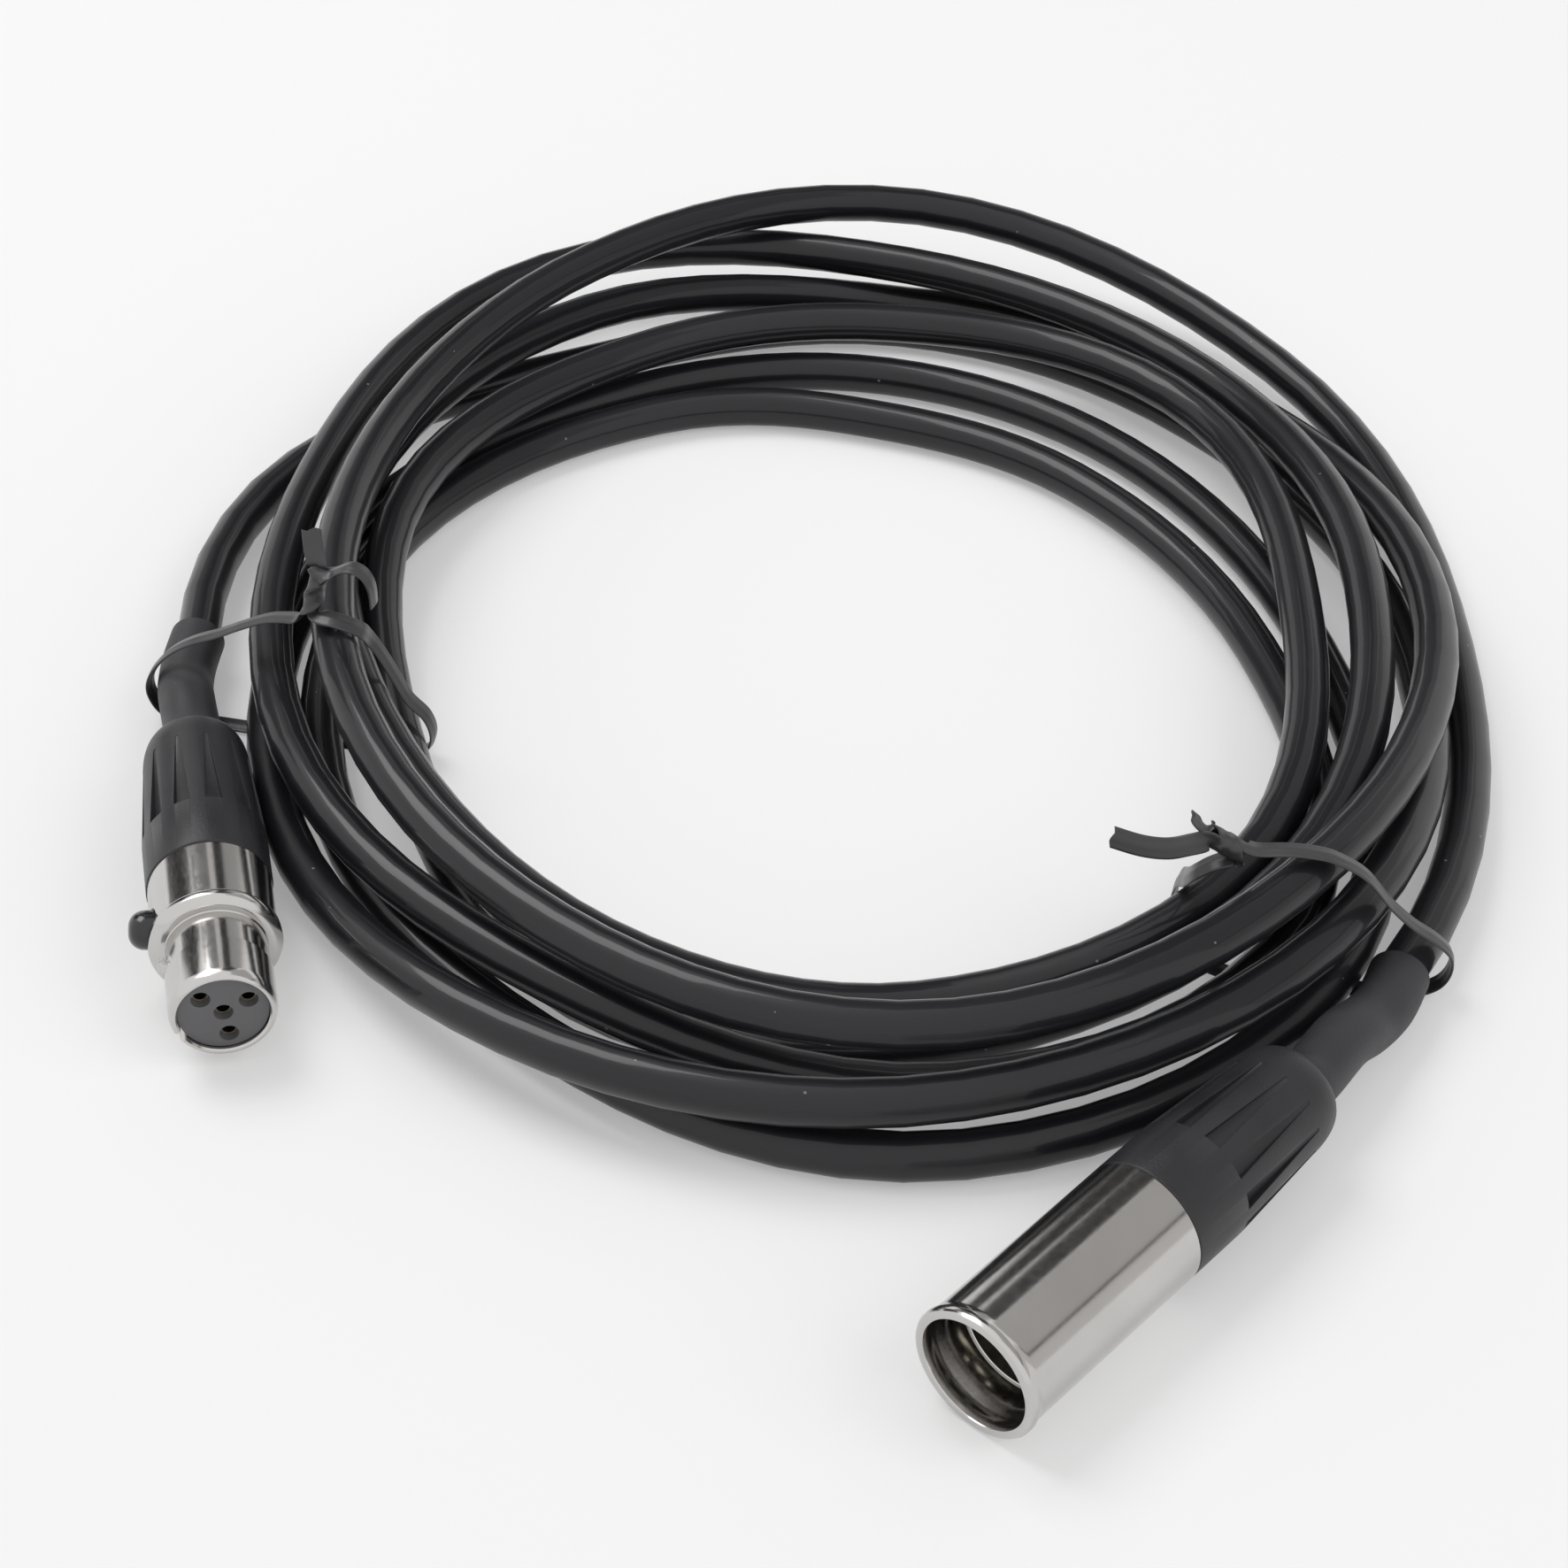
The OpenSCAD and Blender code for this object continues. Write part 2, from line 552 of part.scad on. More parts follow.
// Crests and twist_from are [distance outward, height above the bundle]
module tie(at, way, crests, twist_from, lean, twist_len, tail_len, roll) {
  held = held_by(at, way);
  color([0.09, 0.09, 0.1]) in_tie_plane(at, way) {
    translate([0, 0, -tie_w / 2]) linear_extrude(tie_w) difference() {
      tie_outline(held, crests, tie_t);
      tie_outline(held, crests, 0);
    }
    translate([twist_from.x, top_of(held) + twist_from.y, 0]) rotate([0, 0, lean]) rotate([0, 90, 0]) {
      linear_extrude(twist_len, twist = 360 + roll, slices = 14, segments = 4)
        square([tie_w, 2 * tie_t], center = true);
      rotate([0, 0, -roll]) translate([-tie_w / 2, -tie_t / 2, twist_len - 0.2])
        cube([tie_w, tie_t, tail_len]);
    }
  }
}

LEFT_TWIST_LEN = 3.2;
LEFT_TAIL_LEN = 4.2;
RIGHT_TWIST_LEN = 3.4;
RIGHT_TAIL_LEN = 7.8;

module left_tie() {
  tie(left_tie_at, left_tie_way, [[-4.6, 1.3], [-8.6, 0.7]], [-4.6, 1.5], 84,
      LEFT_TWIST_LEN, LEFT_TAIL_LEN, 90);
}

module right_tie() {
  tie(right_tie_at, right_tie_way, [[-6.2, 0.3]], [-6, 0.5], 178,
      RIGHT_TWIST_LEN, RIGHT_TAIL_LEN, 0);
}

cable_coil();
male_lead();
female_lead();
male_shell();
male_insert();
male_pin(0);  // male_pin_1
male_pin(1);  // male_pin_2
male_pin(2);  // male_pin_3
male_pin(3);  // male_pin_4
male_cores();
male_clamp();
male_boot();
male_sleeve();
female_shell();
female_insert();
female_socket(0);  // female_socket_1
female_socket(1);  // female_socket_2
female_socket(2);  // female_socket_3
female_socket(3);  // female_socket_4
female_cores();
female_clamp();
female_boot();
female_sleeve();
latch_lever();
latch_button();
left_tie();
right_tie();
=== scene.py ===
"""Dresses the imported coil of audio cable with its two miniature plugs, sleeves and twist ties."""

import json
import logging
import math
from dataclasses import dataclass, field
from enum import Enum

import bmesh
import bpy
from mathutils import Matrix, Vector

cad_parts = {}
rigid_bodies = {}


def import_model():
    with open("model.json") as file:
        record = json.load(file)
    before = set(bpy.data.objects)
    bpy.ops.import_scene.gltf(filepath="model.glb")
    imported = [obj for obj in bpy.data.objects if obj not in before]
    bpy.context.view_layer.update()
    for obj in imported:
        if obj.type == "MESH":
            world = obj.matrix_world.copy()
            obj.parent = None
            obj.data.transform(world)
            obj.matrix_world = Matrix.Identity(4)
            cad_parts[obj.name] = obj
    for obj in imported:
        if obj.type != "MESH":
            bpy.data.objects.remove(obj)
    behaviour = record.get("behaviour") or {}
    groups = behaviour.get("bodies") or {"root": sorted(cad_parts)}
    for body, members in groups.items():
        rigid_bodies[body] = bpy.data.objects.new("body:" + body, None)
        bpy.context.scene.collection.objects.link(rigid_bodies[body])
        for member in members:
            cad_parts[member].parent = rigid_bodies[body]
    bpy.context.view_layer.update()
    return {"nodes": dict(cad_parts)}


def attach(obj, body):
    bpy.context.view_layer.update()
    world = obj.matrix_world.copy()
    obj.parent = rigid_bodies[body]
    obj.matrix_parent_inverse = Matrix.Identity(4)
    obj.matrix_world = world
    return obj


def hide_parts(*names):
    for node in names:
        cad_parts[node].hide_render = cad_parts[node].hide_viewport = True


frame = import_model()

MM = 0.001
LOG = logging.getLogger("xlr_cable_coil")
SMOOTH_ANGLE = math.radians(32)     # a turned piece's corners stay sharp past this
SOFT_ANGLE = math.radians(50)       # and a soft piece's past this


class Body(Enum):
    """The rigid bodies that pieces ride on."""

    CABLE = "cable"
    LATCH = "latch"


class Slot(Enum):
    """The record's material slots."""

    JACKET = "cable_jacket"
    SLEEVE = "shrink_sleeve"
    SHELL = "polished_shell"
    MALE_INSERT = "male_insert"
    FEMALE_INSERT = "female_insert"
    CONTACT = "contact"
    CORES = "core_insulation"
    CLAMP = "clamp"
    BOOT = "boot"
    LEVER = "latch_spring"
    BUTTON = "latch_button"
    TIE = "tie"


# ---------------------------------------------------------------- shader groups


def new_group(name: str, inputs: dict[str, float], *outputs: str) -> bpy.types.NodeTree:
    """Makes an empty shader node group with named number sockets.

    Args:
        name: Name of the group.
        inputs: Input names with their default values.
        *outputs: Output names.

    Returns:
        The group, with its input and output nodes in place.
    """
    group = bpy.data.node_groups.new(name, "ShaderNodeTree")
    for label, value in inputs.items():
        socket = group.interface.new_socket(label, in_out="INPUT", socket_type="NodeSocketFloat")
        socket.default_value = value
    for label in outputs:
        group.interface.new_socket(label, in_out="OUTPUT", socket_type="NodeSocketFloat")
    group.nodes.new("NodeGroupInput").name = "in"
    group.nodes.new("NodeGroupOutput").name = "out"
    return group


def feed(tree: bpy.types.NodeTree, node: bpy.types.Node, inputs: dict[str | int, object]) -> None:
    """Links a node's inputs to sockets, or sets them to values.

    Args:
        tree: Node tree that the node is in.
        node: The node.
        inputs: A socket or a value for each input, by its name or index.
    """
    for place, value in inputs.items():
        if isinstance(value, bpy.types.NodeSocket):
            tree.links.new(value, node.inputs[place])
        else:
            node.inputs[place].default_value = value


def add_node(tree: bpy.types.NodeTree, kind: str, inputs: dict[str | int, object]) -> bpy.types.Node:
    """Adds a node and feeds its inputs.

    Args:
        tree: Node tree to add to.
        kind: Blender's name of the node's type.
        inputs: A socket or a value for each input, by its name or index.

    Returns:
        The node.
    """
    node = tree.nodes.new(kind)
    feed(tree, node, inputs)
    return node


def math_node(tree: bpy.types.NodeTree, operation: str, a: object, b: object) -> bpy.types.NodeSocket:
    """Adds a Math node.

    Args:
        tree: Node tree to add to.
        operation: Blender's name of the operation.
        a: First input, a socket or a number.
        b: Second input, a socket or a number.

    Returns:
        The node's output socket.
    """
    node = add_node(tree, "ShaderNodeMath", {0: a, 1: b})
    node.operation = operation
    return node.outputs[0]


def mix_node(tree: bpy.types.NodeTree, share: bpy.types.NodeSocket, a: object,
             b: object) -> bpy.types.NodeSocket:
    """Adds a Mix node for colours.

    Args:
        tree: Node tree to add to.
        share: How much of b there is.
        a: First colour or its socket.
        b: Second colour or its socket.

    Returns:
        The mixed colour's socket.
    """
    node = tree.nodes.new("ShaderNodeMix")
    node.data_type = "RGBA"
    feed(tree, node, {"Factor": share, "A": a, "B": b})
    return node.outputs["Result"]


def group_node(tree: bpy.types.NodeTree, group: bpy.types.NodeTree,
               inputs: dict[str | int, object]) -> bpy.types.Node:
    """Places a shader group.

    Args:
        tree: Node tree to add to.
        group: The group.
        inputs: A socket or a value for each of its inputs, by its name or index.

    Returns:
        The group node.
    """
    node = tree.nodes.new("ShaderNodeGroup")
    node.node_tree = group
    feed(tree, node, inputs)
    return node


def grey(level: float) -> tuple[float, float, float, float]:
    """Returns a grey as an opaque colour."""
    return level, level, level, 1.0


def build_grain_group() -> bpy.types.NodeTree:
    """Makes the group for fine moulded grain and slow unevenness.

    Returns:
        A group with the inputs Grain Size, Patch Size and Contrast, and the outputs Grain and Patches.
    """
    group = new_group("moulded_grain", {"Grain Size": 0.0002, "Patch Size": 0.01, "Contrast": 1.0},
                      "Grain", "Patches")
    given = group.nodes["in"].outputs
    coords = group.nodes.new("ShaderNodeTexCoord")
    for label, size, detail in (("Grain", "Grain Size", 2.0), ("Patches", "Patch Size", 3.0)):
        noise = add_node(group, "ShaderNodeTexNoise", {
            "Vector": coords.outputs["Object"], "Detail": detail,
            "Scale": math_node(group, "DIVIDE", 1.0, given[size]),
        })
        centred = math_node(group, "SUBTRACT", noise.outputs["Fac"], 0.5)
        wide = math_node(group, "MULTIPLY", centred, given["Contrast"])
        feed(group, group.nodes["out"], {label: math_node(group, "ADD", wide, 0.5)})
    return group


def build_dust_group() -> bpy.types.NodeTree:
    """Makes the group for sparse specks of dust and lint.

    Returns:
        A group with the inputs Spacing and Amount, and the output Dust.
    """
    group = new_group("dust_specks", {"Spacing": 0.004, "Amount": 0.06}, "Dust")
    given = group.nodes["in"].outputs
    coords = group.nodes.new("ShaderNodeTexCoord")
    cells = add_node(group, "ShaderNodeTexVoronoi", {
        "Vector": coords.outputs["Object"],
        "Scale": math_node(group, "DIVIDE", 1.0, given["Spacing"]),
    })
    near = math_node(group, "LESS_THAN", cells.outputs["Distance"], given["Amount"])
    feed(group, group.nodes["out"], {"Dust": near})
    return group


def build_scuff_group() -> bpy.types.NodeTree:
    """Makes the group for hairline polishing marks that run round a plated piece.

    Returns:
        A group with the inputs Size and Stretch, and the output Scuffs.
    """
    group = new_group("plating_scuffs", {"Size": 0.0006, "Stretch": 9.0}, "Scuffs")
    given = group.nodes["in"].outputs
    coords = group.nodes.new("ShaderNodeTexCoord")
    stretch = add_node(group, "ShaderNodeCombineXYZ", {"X": 1.0, "Y": 1.0, "Z": given["Stretch"]})
    long = add_node(group, "ShaderNodeVectorMath", {0: coords.outputs["Object"], 1: stretch.outputs[0]})
    long.operation = "MULTIPLY"
    noise = add_node(group, "ShaderNodeTexNoise", {
        "Vector": long.outputs[0], "Detail": 4.0,
        "Scale": math_node(group, "DIVIDE", 1.0, given["Size"]),
    })
    feed(group, group.nodes["out"], {"Scuffs": noise.outputs["Fac"]})
    return group


# ---------------------------------------------------------------- finishes


@dataclass(frozen=True)
class Finish:
    """A moulded, rubber-like or plated finish.

    Attributes:
        slot: The record's slot that the finish belongs to.
        dark: Colour in the hollows of the slow pattern.
        light: Colour on its highs.
        roughness: Lowest and highest roughness.
        metallic: 1 for bare or plated metal.
        gloss: Specular level of the body under any skin.
        coat: Weight of a clear skin.
        coat_roughness: Roughness of that skin.
        grain: Size of the fine grain in metres.
        patch: Size of the slow unevenness in metres.
        relief: Depth of the grain in metres.
        dust: How much of the surface has specks on it, from 0 to 1.
    """

    slot: Slot
    dark: tuple[float, float, float]
    light: tuple[float, float, float]
    roughness: tuple[float, float]
    metallic: float = 0.0
    gloss: float = 0.5
    coat: float = 0.0
    coat_roughness: float = 0.1
    grain: float = 0.0003
    patch: float = 0.012
    relief: float = 0.00001
    dust: float = 0.0


class Finishes:
    """Builds each finish once and hands it out."""

    TABLE = (
        Finish(Slot.JACKET, (0.0085, 0.0085, 0.0105), (0.013, 0.013, 0.0155), (0.34, 0.42), gloss=0.22,
               coat=0.42, coat_roughness=0.06, grain=0.0006, patch=0.018, relief=0.000004, dust=0.035),
        Finish(Slot.SLEEVE, (0.022, 0.022, 0.025), (0.032, 0.032, 0.036), (0.48, 0.62), grain=0.00025,
               patch=0.006, relief=0.000012, dust=0.04),
        Finish(Slot.SHELL, (0.54, 0.525, 0.515), (0.6, 0.585, 0.57), (0.13, 0.19), metallic=1.0,
               grain=0.0006, patch=0.006, relief=0.000001),
        Finish(Slot.MALE_INSERT, (0.1, 0.1, 0.105), (0.14, 0.14, 0.145), (0.4, 0.55)),
        Finish(Slot.FEMALE_INSERT, (0.1, 0.1, 0.105), (0.125, 0.125, 0.13), (0.4, 0.55)),
        Finish(Slot.CONTACT, (0.72, 0.66, 0.52), (0.82, 0.77, 0.64), (0.16, 0.24), metallic=1.0),
        Finish(Slot.CORES, (0.33, 0.03, 0.025), (0.42, 0.05, 0.04), (0.3, 0.4)),
        Finish(Slot.CLAMP, (0.6, 0.6, 0.56), (0.7, 0.7, 0.66), (0.4, 0.55)),
        Finish(Slot.BOOT, (0.014, 0.014, 0.016), (0.02, 0.02, 0.023), (0.36, 0.48), grain=0.00022,
               patch=0.007, relief=0.000012, dust=0.02),
        Finish(Slot.LEVER, (0.52, 0.52, 0.52), (0.62, 0.62, 0.61), (0.22, 0.34), metallic=1.0),
        Finish(Slot.BUTTON, (0.01, 0.01, 0.011), (0.014, 0.014, 0.016), (0.2, 0.3), coat=0.3),
        Finish(Slot.TIE, (0.036, 0.036, 0.038), (0.052, 0.052, 0.055), (0.3, 0.42), grain=0.0004,
               patch=0.004, relief=0.00001),
    )
    CONTRAST = 1.6
    SPREAD = (0.3, 0.7)
    DUST_SPACING = 0.0035
    DUST_GREY = 0.16
    DUST_ROUGHNESS = 0.7

    def __init__(self) -> None:
        """Builds the shared shader groups, then every material."""
        self.grain = build_grain_group()
        self.dust = build_dust_group()
        self.scuffs = build_scuff_group()
        self.materials = {finish.slot: self.build(finish) for finish in self.TABLE}

    def build(self, finish: Finish) -> bpy.types.Material:
        """Makes a material.

        Args:
            finish: What it looks like.

        Returns:
            The material, named after its slot.
        """
        material = bpy.data.materials.new(finish.slot.value)
        material.use_nodes = True
        tree = material.node_tree
        grain = group_node(tree, self.grain, {
            "Grain Size": finish.grain, "Patch Size": finish.patch, "Contrast": self.CONTRAST,
        })
        source = grain.outputs["Patches"]
        tint = mix_node(tree, source, (*finish.dark, 1), (*finish.light, 1))
        if finish.metallic:
            source = group_node(tree, self.scuffs, {"Size": finish.grain}).outputs["Scuffs"]
        rough = add_node(tree, "ShaderNodeMapRange", {
            "Value": source, "From Min": self.SPREAD[0], "From Max": self.SPREAD[1],
            "To Min": finish.roughness[0], "To Max": finish.roughness[1],
        }).outputs["Result"]
        if finish.dust:
            given = {"Spacing": self.DUST_SPACING, "Amount": finish.dust}
            specks = group_node(tree, self.dust, given).outputs["Dust"]
            tint = mix_node(tree, specks, tint, grey(self.DUST_GREY))
            dull = math_node(tree, "MULTIPLY", specks, self.DUST_ROUGHNESS)
            rough = math_node(tree, "MAXIMUM", rough, dull)
        bump = add_node(tree, "ShaderNodeBump", {
            "Distance": finish.relief, "Height": grain.outputs["Grain"],
        })
        feed(tree, tree.nodes["Principled BSDF"], {
            "Base Color": tint, "Roughness": rough, "Normal": bump.outputs["Normal"],
            "Metallic": finish.metallic, "Specular IOR Level": finish.gloss,
            "Coat Weight": finish.coat, "Coat Roughness": finish.coat_roughness,
        })
        return material

    def wear(self, piece: bpy.types.Object, slot: Slot) -> None:
        """Gives a piece its only material.

        Args:
            piece: A dressed piece, or a CAD node's object.
            slot: Its finish.
        """
        material = self.materials[slot]
        if piece.material_slots:
            for place in piece.material_slots:
                place.material = material
        else:
            piece.data.materials.append(material)


# ---------------------------------------------------------------- routes


def blend(row: list, i: int, t: float) -> object:
    """Reads a smooth value between two entries of a row.

    Args:
        row: Numbers or points, in order.
        i: Index of the entry before the place.
        t: Share of the way to the next entry.

    Returns:
        The value on the Catmull-Rom curve through the row.
    """
    p0, p1, p2, p3 = (row[min(max(i + k, 0), len(row) - 1)] for k in (-1, 0, 1, 2))
    return 0.5 * (2 * p1 + (p2 - p0) * t + (2 * p0 - 5 * p1 + 4 * p2 - p3) * t * t
                  + (3 * p1 - p0 - 3 * p2 + p3) * t ** 3)


def catmull(points: list[Vector], steps: int) -> list[Vector]:
    """Rounds a route through its points.

    Args:
        points: Points to pass through, in order.
        steps: How many stretches each gap is split into.

    Returns:
        Points on a Catmull-Rom curve.
    """
    rounded = [blend(points, i, step / steps) for i in range(len(points) - 1) for step in range(steps)]
    return rounded + [points[-1]]


def polar(degrees: float, radius: float) -> tuple[float, float]:
    """Returns a point at an angle and radius."""
    return radius * math.cos(math.radians(degrees)), radius * math.sin(math.radians(degrees))


def flat_way(a: Vector, b: Vector) -> Vector:
    """Returns the level direction from a to b."""
    return Vector((b.x - a.x, b.y - a.y, 0)).normalized()


def heading(degrees: float) -> Vector:
    """Returns the level direction at an angle from +X."""
    return Vector((*polar(degrees, 1.0), 0))


def ways_along(points: list[Vector]) -> list[Vector]:
    """Returns the direction of a route at each of its points."""
    last = len(points) - 1
    return [(points[min(i + 1, last)] - points[max(i - 1, 0)]).normalized() for i in range(last + 1)]


@dataclass
class CoilRoute:
    """How the cable lies: turns laid over one another on an oval, in millimetres."""

    cable_d: float = 3.8
    turn_gap: float = 0.45
    half_w: float = 52.0
    half_l: float = 64.0
    pitch: float = 4.2
    marks: int = 9
    first_angle: float = 320.0
    end: float = 59.5
    tie_t: float = 0.45
    tie_room: float = 0.12
    tie_angles: tuple[float, float] = (190.0, 317.0)
    rise_angle: float = 45.0
    fine: int = 8
    solid_rings: int = 24
    out_turns: tuple[tuple[float, ...], ...] = (
        (4.8, 3.3, 7.0, 5.6, -4.8, -7.8, -8.9, -9.2, -5.2),
        (-2.6, 0.6, 1.0, -2.0, -4.0, -5.6, -11.3, -15.1, -16.7),
        (-10.0, -10.7, -7.8, -13.4, -13.2, -10.3, -13.5, -11.4, -12.2),
        (-5.8, -5.2, -3.1, -2.0, 5.8, -0.8, -4.0, -8.2, -6.2),
        (-4.6, -13.9, -21.0, -24.5, -18.3, -9.5, -6.4, -6.1, -0.6),
        (0.2, -8.8, -14.0, -16.3, -13.5, -5.1, -2.0, -2.3, -2.2),
        (0.4, -1.0, -4.8, -6.8, -6.4, 5.0, 2.3, 2.3, 2.3),
    )
    up_turns: tuple[tuple[float, ...], ...] = (
        (0.8, 0.1, 1.7, 7.3, 10.4, 9.7, 9.7, 8.8, 8.7),
        (8.6, 5.4, 0.0, 0.0, 4.3, 5.1, 5.1, 2.9, 0.0),
        (3.1, 5.1, 4.2, 4.4, 4.3, 4.5, 0.0, 0.0, 0.0),
        (4.5, 7.0, 4.3, 4.6, 4.2, 4.4, 4.3, 4.3, 1.5),
        (0.0, 0.0, 0.0, 0.0, 0.0, 0.0, 0.0, 0.0, 0.0),
        (0.0, 0.0, 0.0, 0.0, 0.0, 0.0, 0.0, 3.9, 4.4),
        (4.7, 1.1, 0.0, 0.0, 0.0, 0.7, 0.8, 0.8, 0.8),
    )

    def on_oval(self, degrees: float) -> Vector:
        """Returns the point of the oval on the floor at an angle."""
        turn = math.radians(degrees)
        return Vector((self.half_w * math.cos(turn), self.half_l * math.sin(turn), 0))

    def over_ties(self, angle: float) -> float:
        """Reads how far the turns are lifted where a tie passes under them.

        Args:
            angle: Angle round the coil in degrees.

        Returns:
            The lift there.
        """
        lift = 0.0
        for tie in self.tie_angles:
            apart = abs((angle - tie + 540) % 360 - 180)
            if apart < self.rise_angle:
                lift += (1 + math.cos(math.pi * apart / self.rise_angle)) / 2
        return (self.tie_t + self.tie_room) * min(1.0, lift)

    def curve(self, turns: tuple[tuple[float, ...], ...], s: float) -> float:
        """Reads a smooth value between marks.

        Args:
            turns: Marks, one row per turn.
            s: Place along the coil, counted in marks.

        Returns:
            The value there.
        """
        i = math.floor(s)
        return blend([mark for turn in turns for mark in turn], i, s - i)

    def point(self, s: float, rest: float) -> Vector:
        """Finds a point of the coil's centre line.

        Args:
            s: Place along the coil, counted in marks.
            rest: Height of the cable's axis where it lies on the floor.

        Returns:
            The point.
        """
        angle = self.first_angle + 360 / self.marks * s
        lay = (self.cable_d + self.turn_gap) / self.pitch
        out = lay * self.curve(self.out_turns, s)
        up = lay * max(0.0, self.curve(self.up_turns, s)) + self.over_ties(angle)
        turn = math.radians(angle)
        return Vector(((self.half_w + out) * math.cos(turn), (self.half_l + out) * math.sin(turn), rest + up))

    def solid_rest(self) -> float:
        """Returns how high the CAD cable's axis lies, whose section has six sides and rests on one."""
        return self.cable_d / 2 * math.cos(math.radians(30))

    def lift(self) -> Vector:
        """Returns how much higher the round cable's axis lies than the CAD cable's."""
        return Vector((0, 0, self.cable_d / 2 - self.solid_rest()))

    def solid_ends(self) -> tuple[Vector, Vector, Vector, Vector]:
        """Finds where the CAD coil starts and stops.

        Returns:
            Its first and last points, and the level directions there.
        """
        rings = math.ceil(self.end * self.solid_rings / self.marks)
        a, b, y, z = (self.point(self.end * i / rings, self.solid_rest()) for i in (0, 1, rings - 1, rings))
        return a, z, flat_way(a, b), flat_way(y, z)

    def turns(self) -> list[Vector]:
        """Returns the whole coil as a fine route."""
        count = math.ceil(self.end * self.fine)
        return [self.point(self.end * i / count, self.cable_d / 2) for i in range(count + 1)]


@dataclass
class PlugPlace:
    """Where a plug lies: its parts are drawn along +Z, with +X up and +Y to the right of its way."""

    seat: Vector
    degrees: float

    def matrix(self) -> Matrix:
        """Works out the placing.

        Returns:
            The matrix from millimetres on the plug to metres in the row frame.
        """
        way = heading(self.degrees)
        right = Vector((way.y, -way.x, 0))
        turn = Matrix(((0, right.x, way.x), (0, right.y, way.y), (1, 0, 0))).to_4x4()
        return Matrix.Translation(self.seat * MM) @ turn @ Matrix.Scale(MM, 4)


@dataclass
class Layout:
    """Places both plugs and the leads from the coil's ends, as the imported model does."""

    coil: CoilRoute = field(default_factory=CoilRoute)
    boot_len: float = 18.3
    body_len: float = 6.6
    seat_len: float = 0.7
    axis_up: float = 5.2
    jacket_end: float = 2.2
    male_heading: float = 227.4
    female_heading: float = 282.3
    lead_steps: int = 5
    sleeve_steps: int = 6

    def __post_init__(self) -> None:
        """Works out the plugs' places and the leads' points."""
        self.coil_start, self.coil_stop, start_way, stop_way = self.coil.solid_ends()
        self.coil_in = self.coil_start - start_way * self.coil.cable_d
        self.coil_out = self.coil_stop + stop_way * self.coil.cable_d
        level = Vector((1, 1, 0))
        self.male_way, self.female_way = heading(self.male_heading), heading(self.female_heading)
        self.male_rear = self.coil_in * level + Vector((-8.6, -11.2, self.axis_up))
        self.female_rear = self.coil_out * level + Vector((2.9, -14.8, self.axis_up))
        self.male = PlugPlace(self.male_rear + self.male_way * self.boot_len, self.male_heading)
        female_len = self.boot_len + self.body_len + self.seat_len
        self.female = PlugPlace(self.female_rear + self.female_way * female_len, self.female_heading)

    def lead(self, end: Vector, steps: tuple[Vector, Vector], rear: Vector, way: Vector,
             inside: tuple[float, float]) -> list[Vector]:
        """Lists a lead's points from the coil's end into the boot.

        Args:
            end: Where the coil ends.
            steps: The next two points, from that end.
            rear: Middle of the boot's end face.
            way: Which way the plug points.
            inside: How far before the end face, and how far below the axis, the last free point is.

        Returns:
            The points, the coil's end first.
        """
        lift = self.coil.lift()
        return [end + lift, end + steps[0] + lift, end + steps[1] + lift * 0.5,
                rear - way * inside[0] - Vector((0, 0, inside[1])), rear, rear + way * 6,
                rear + way * (self.boot_len - self.jacket_end)]

    def male_lead(self) -> list[Vector]:
        """Returns the points of the lead into the male plug."""
        steps = (Vector((-1.9, -2.5, 0.2)), Vector((-4.3, -5.6, 1.6)))
        return self.lead(self.coil_in, steps, self.male_rear, self.male_way, (2.2, 0.3))

    def female_lead(self) -> list[Vector]:
        """Returns the points of the lead into the female plug."""
        steps = (Vector((0.2, -3.4, 0.1)), Vector((1.1, -7.4, 1.5)))
        return self.lead(self.coil_out, steps, self.female_rear, self.female_way, (3.0, 0.4))

    def whole_cable(self) -> list[Vector]:
        """Lists the whole cable's centre line. Each lead leaves the coil along the coil's own bend.

        Returns:
            The points, from inside the male boot to inside the female boot.
        """
        turns = self.coil.turns()
        before = [turns[4], turns[0]] + self.male_lead()
        after = [turns[-5], turns[-1]] + self.female_lead()
        male, female = (catmull(part, self.lead_steps)[self.lead_steps:] for part in (before, after))
        return male[::-1] + turns[1:-1] + female

    def sleeve(self, start: Vector, lead: list[Vector]) -> list[Vector]:
        """Returns a sleeve's centre line.

        Args:
            start: Where the coil ends.
            lead: The lead's points from there.

        Returns:
            The coil's straight end, then the lead to one step past the boot's end face.
        """
        fine = catmull([start + self.coil.lift()] + lead, self.sleeve_steps)
        return fine[: self.sleeve_steps * 5 + 2]


# ---------------------------------------------------------------- mesh makers


def linked(name: str, data: bpy.types.ID) -> bpy.types.Object:
    """Links a mesh, curve, lamp or camera into the scene.

    Args:
        name: Name of the object.
        data: What it holds.

    Returns:
        The object, at the origin.
    """
    item = bpy.data.objects.new(name, data)
    bpy.context.scene.collection.objects.link(item)
    return item


def finish_mesh(mesh: bpy.types.Mesh, angle: float = SMOOTH_ANGLE) -> None:
    """Smooths a mesh.

    Args:
        mesh: The mesh.
        angle: Edges sharper than this stay sharp.
    """
    mesh.polygons.foreach_set("use_smooth", [True] * len(mesh.polygons))
    mesh.set_sharp_from_angle(angle=angle)
    mesh.update()


def mesh_piece(name: str, bm: bmesh.types.BMesh) -> bpy.types.Object:
    """Turns faces into a linked piece, and frees them.

    Args:
        name: Name of the piece and of its mesh.
        bm: The faces, in metres in the row frame.

    Returns:
        The piece.
    """
    mesh = bpy.data.meshes.new(name)
    bm.to_mesh(mesh)
    bm.free()
    return linked(name, mesh)


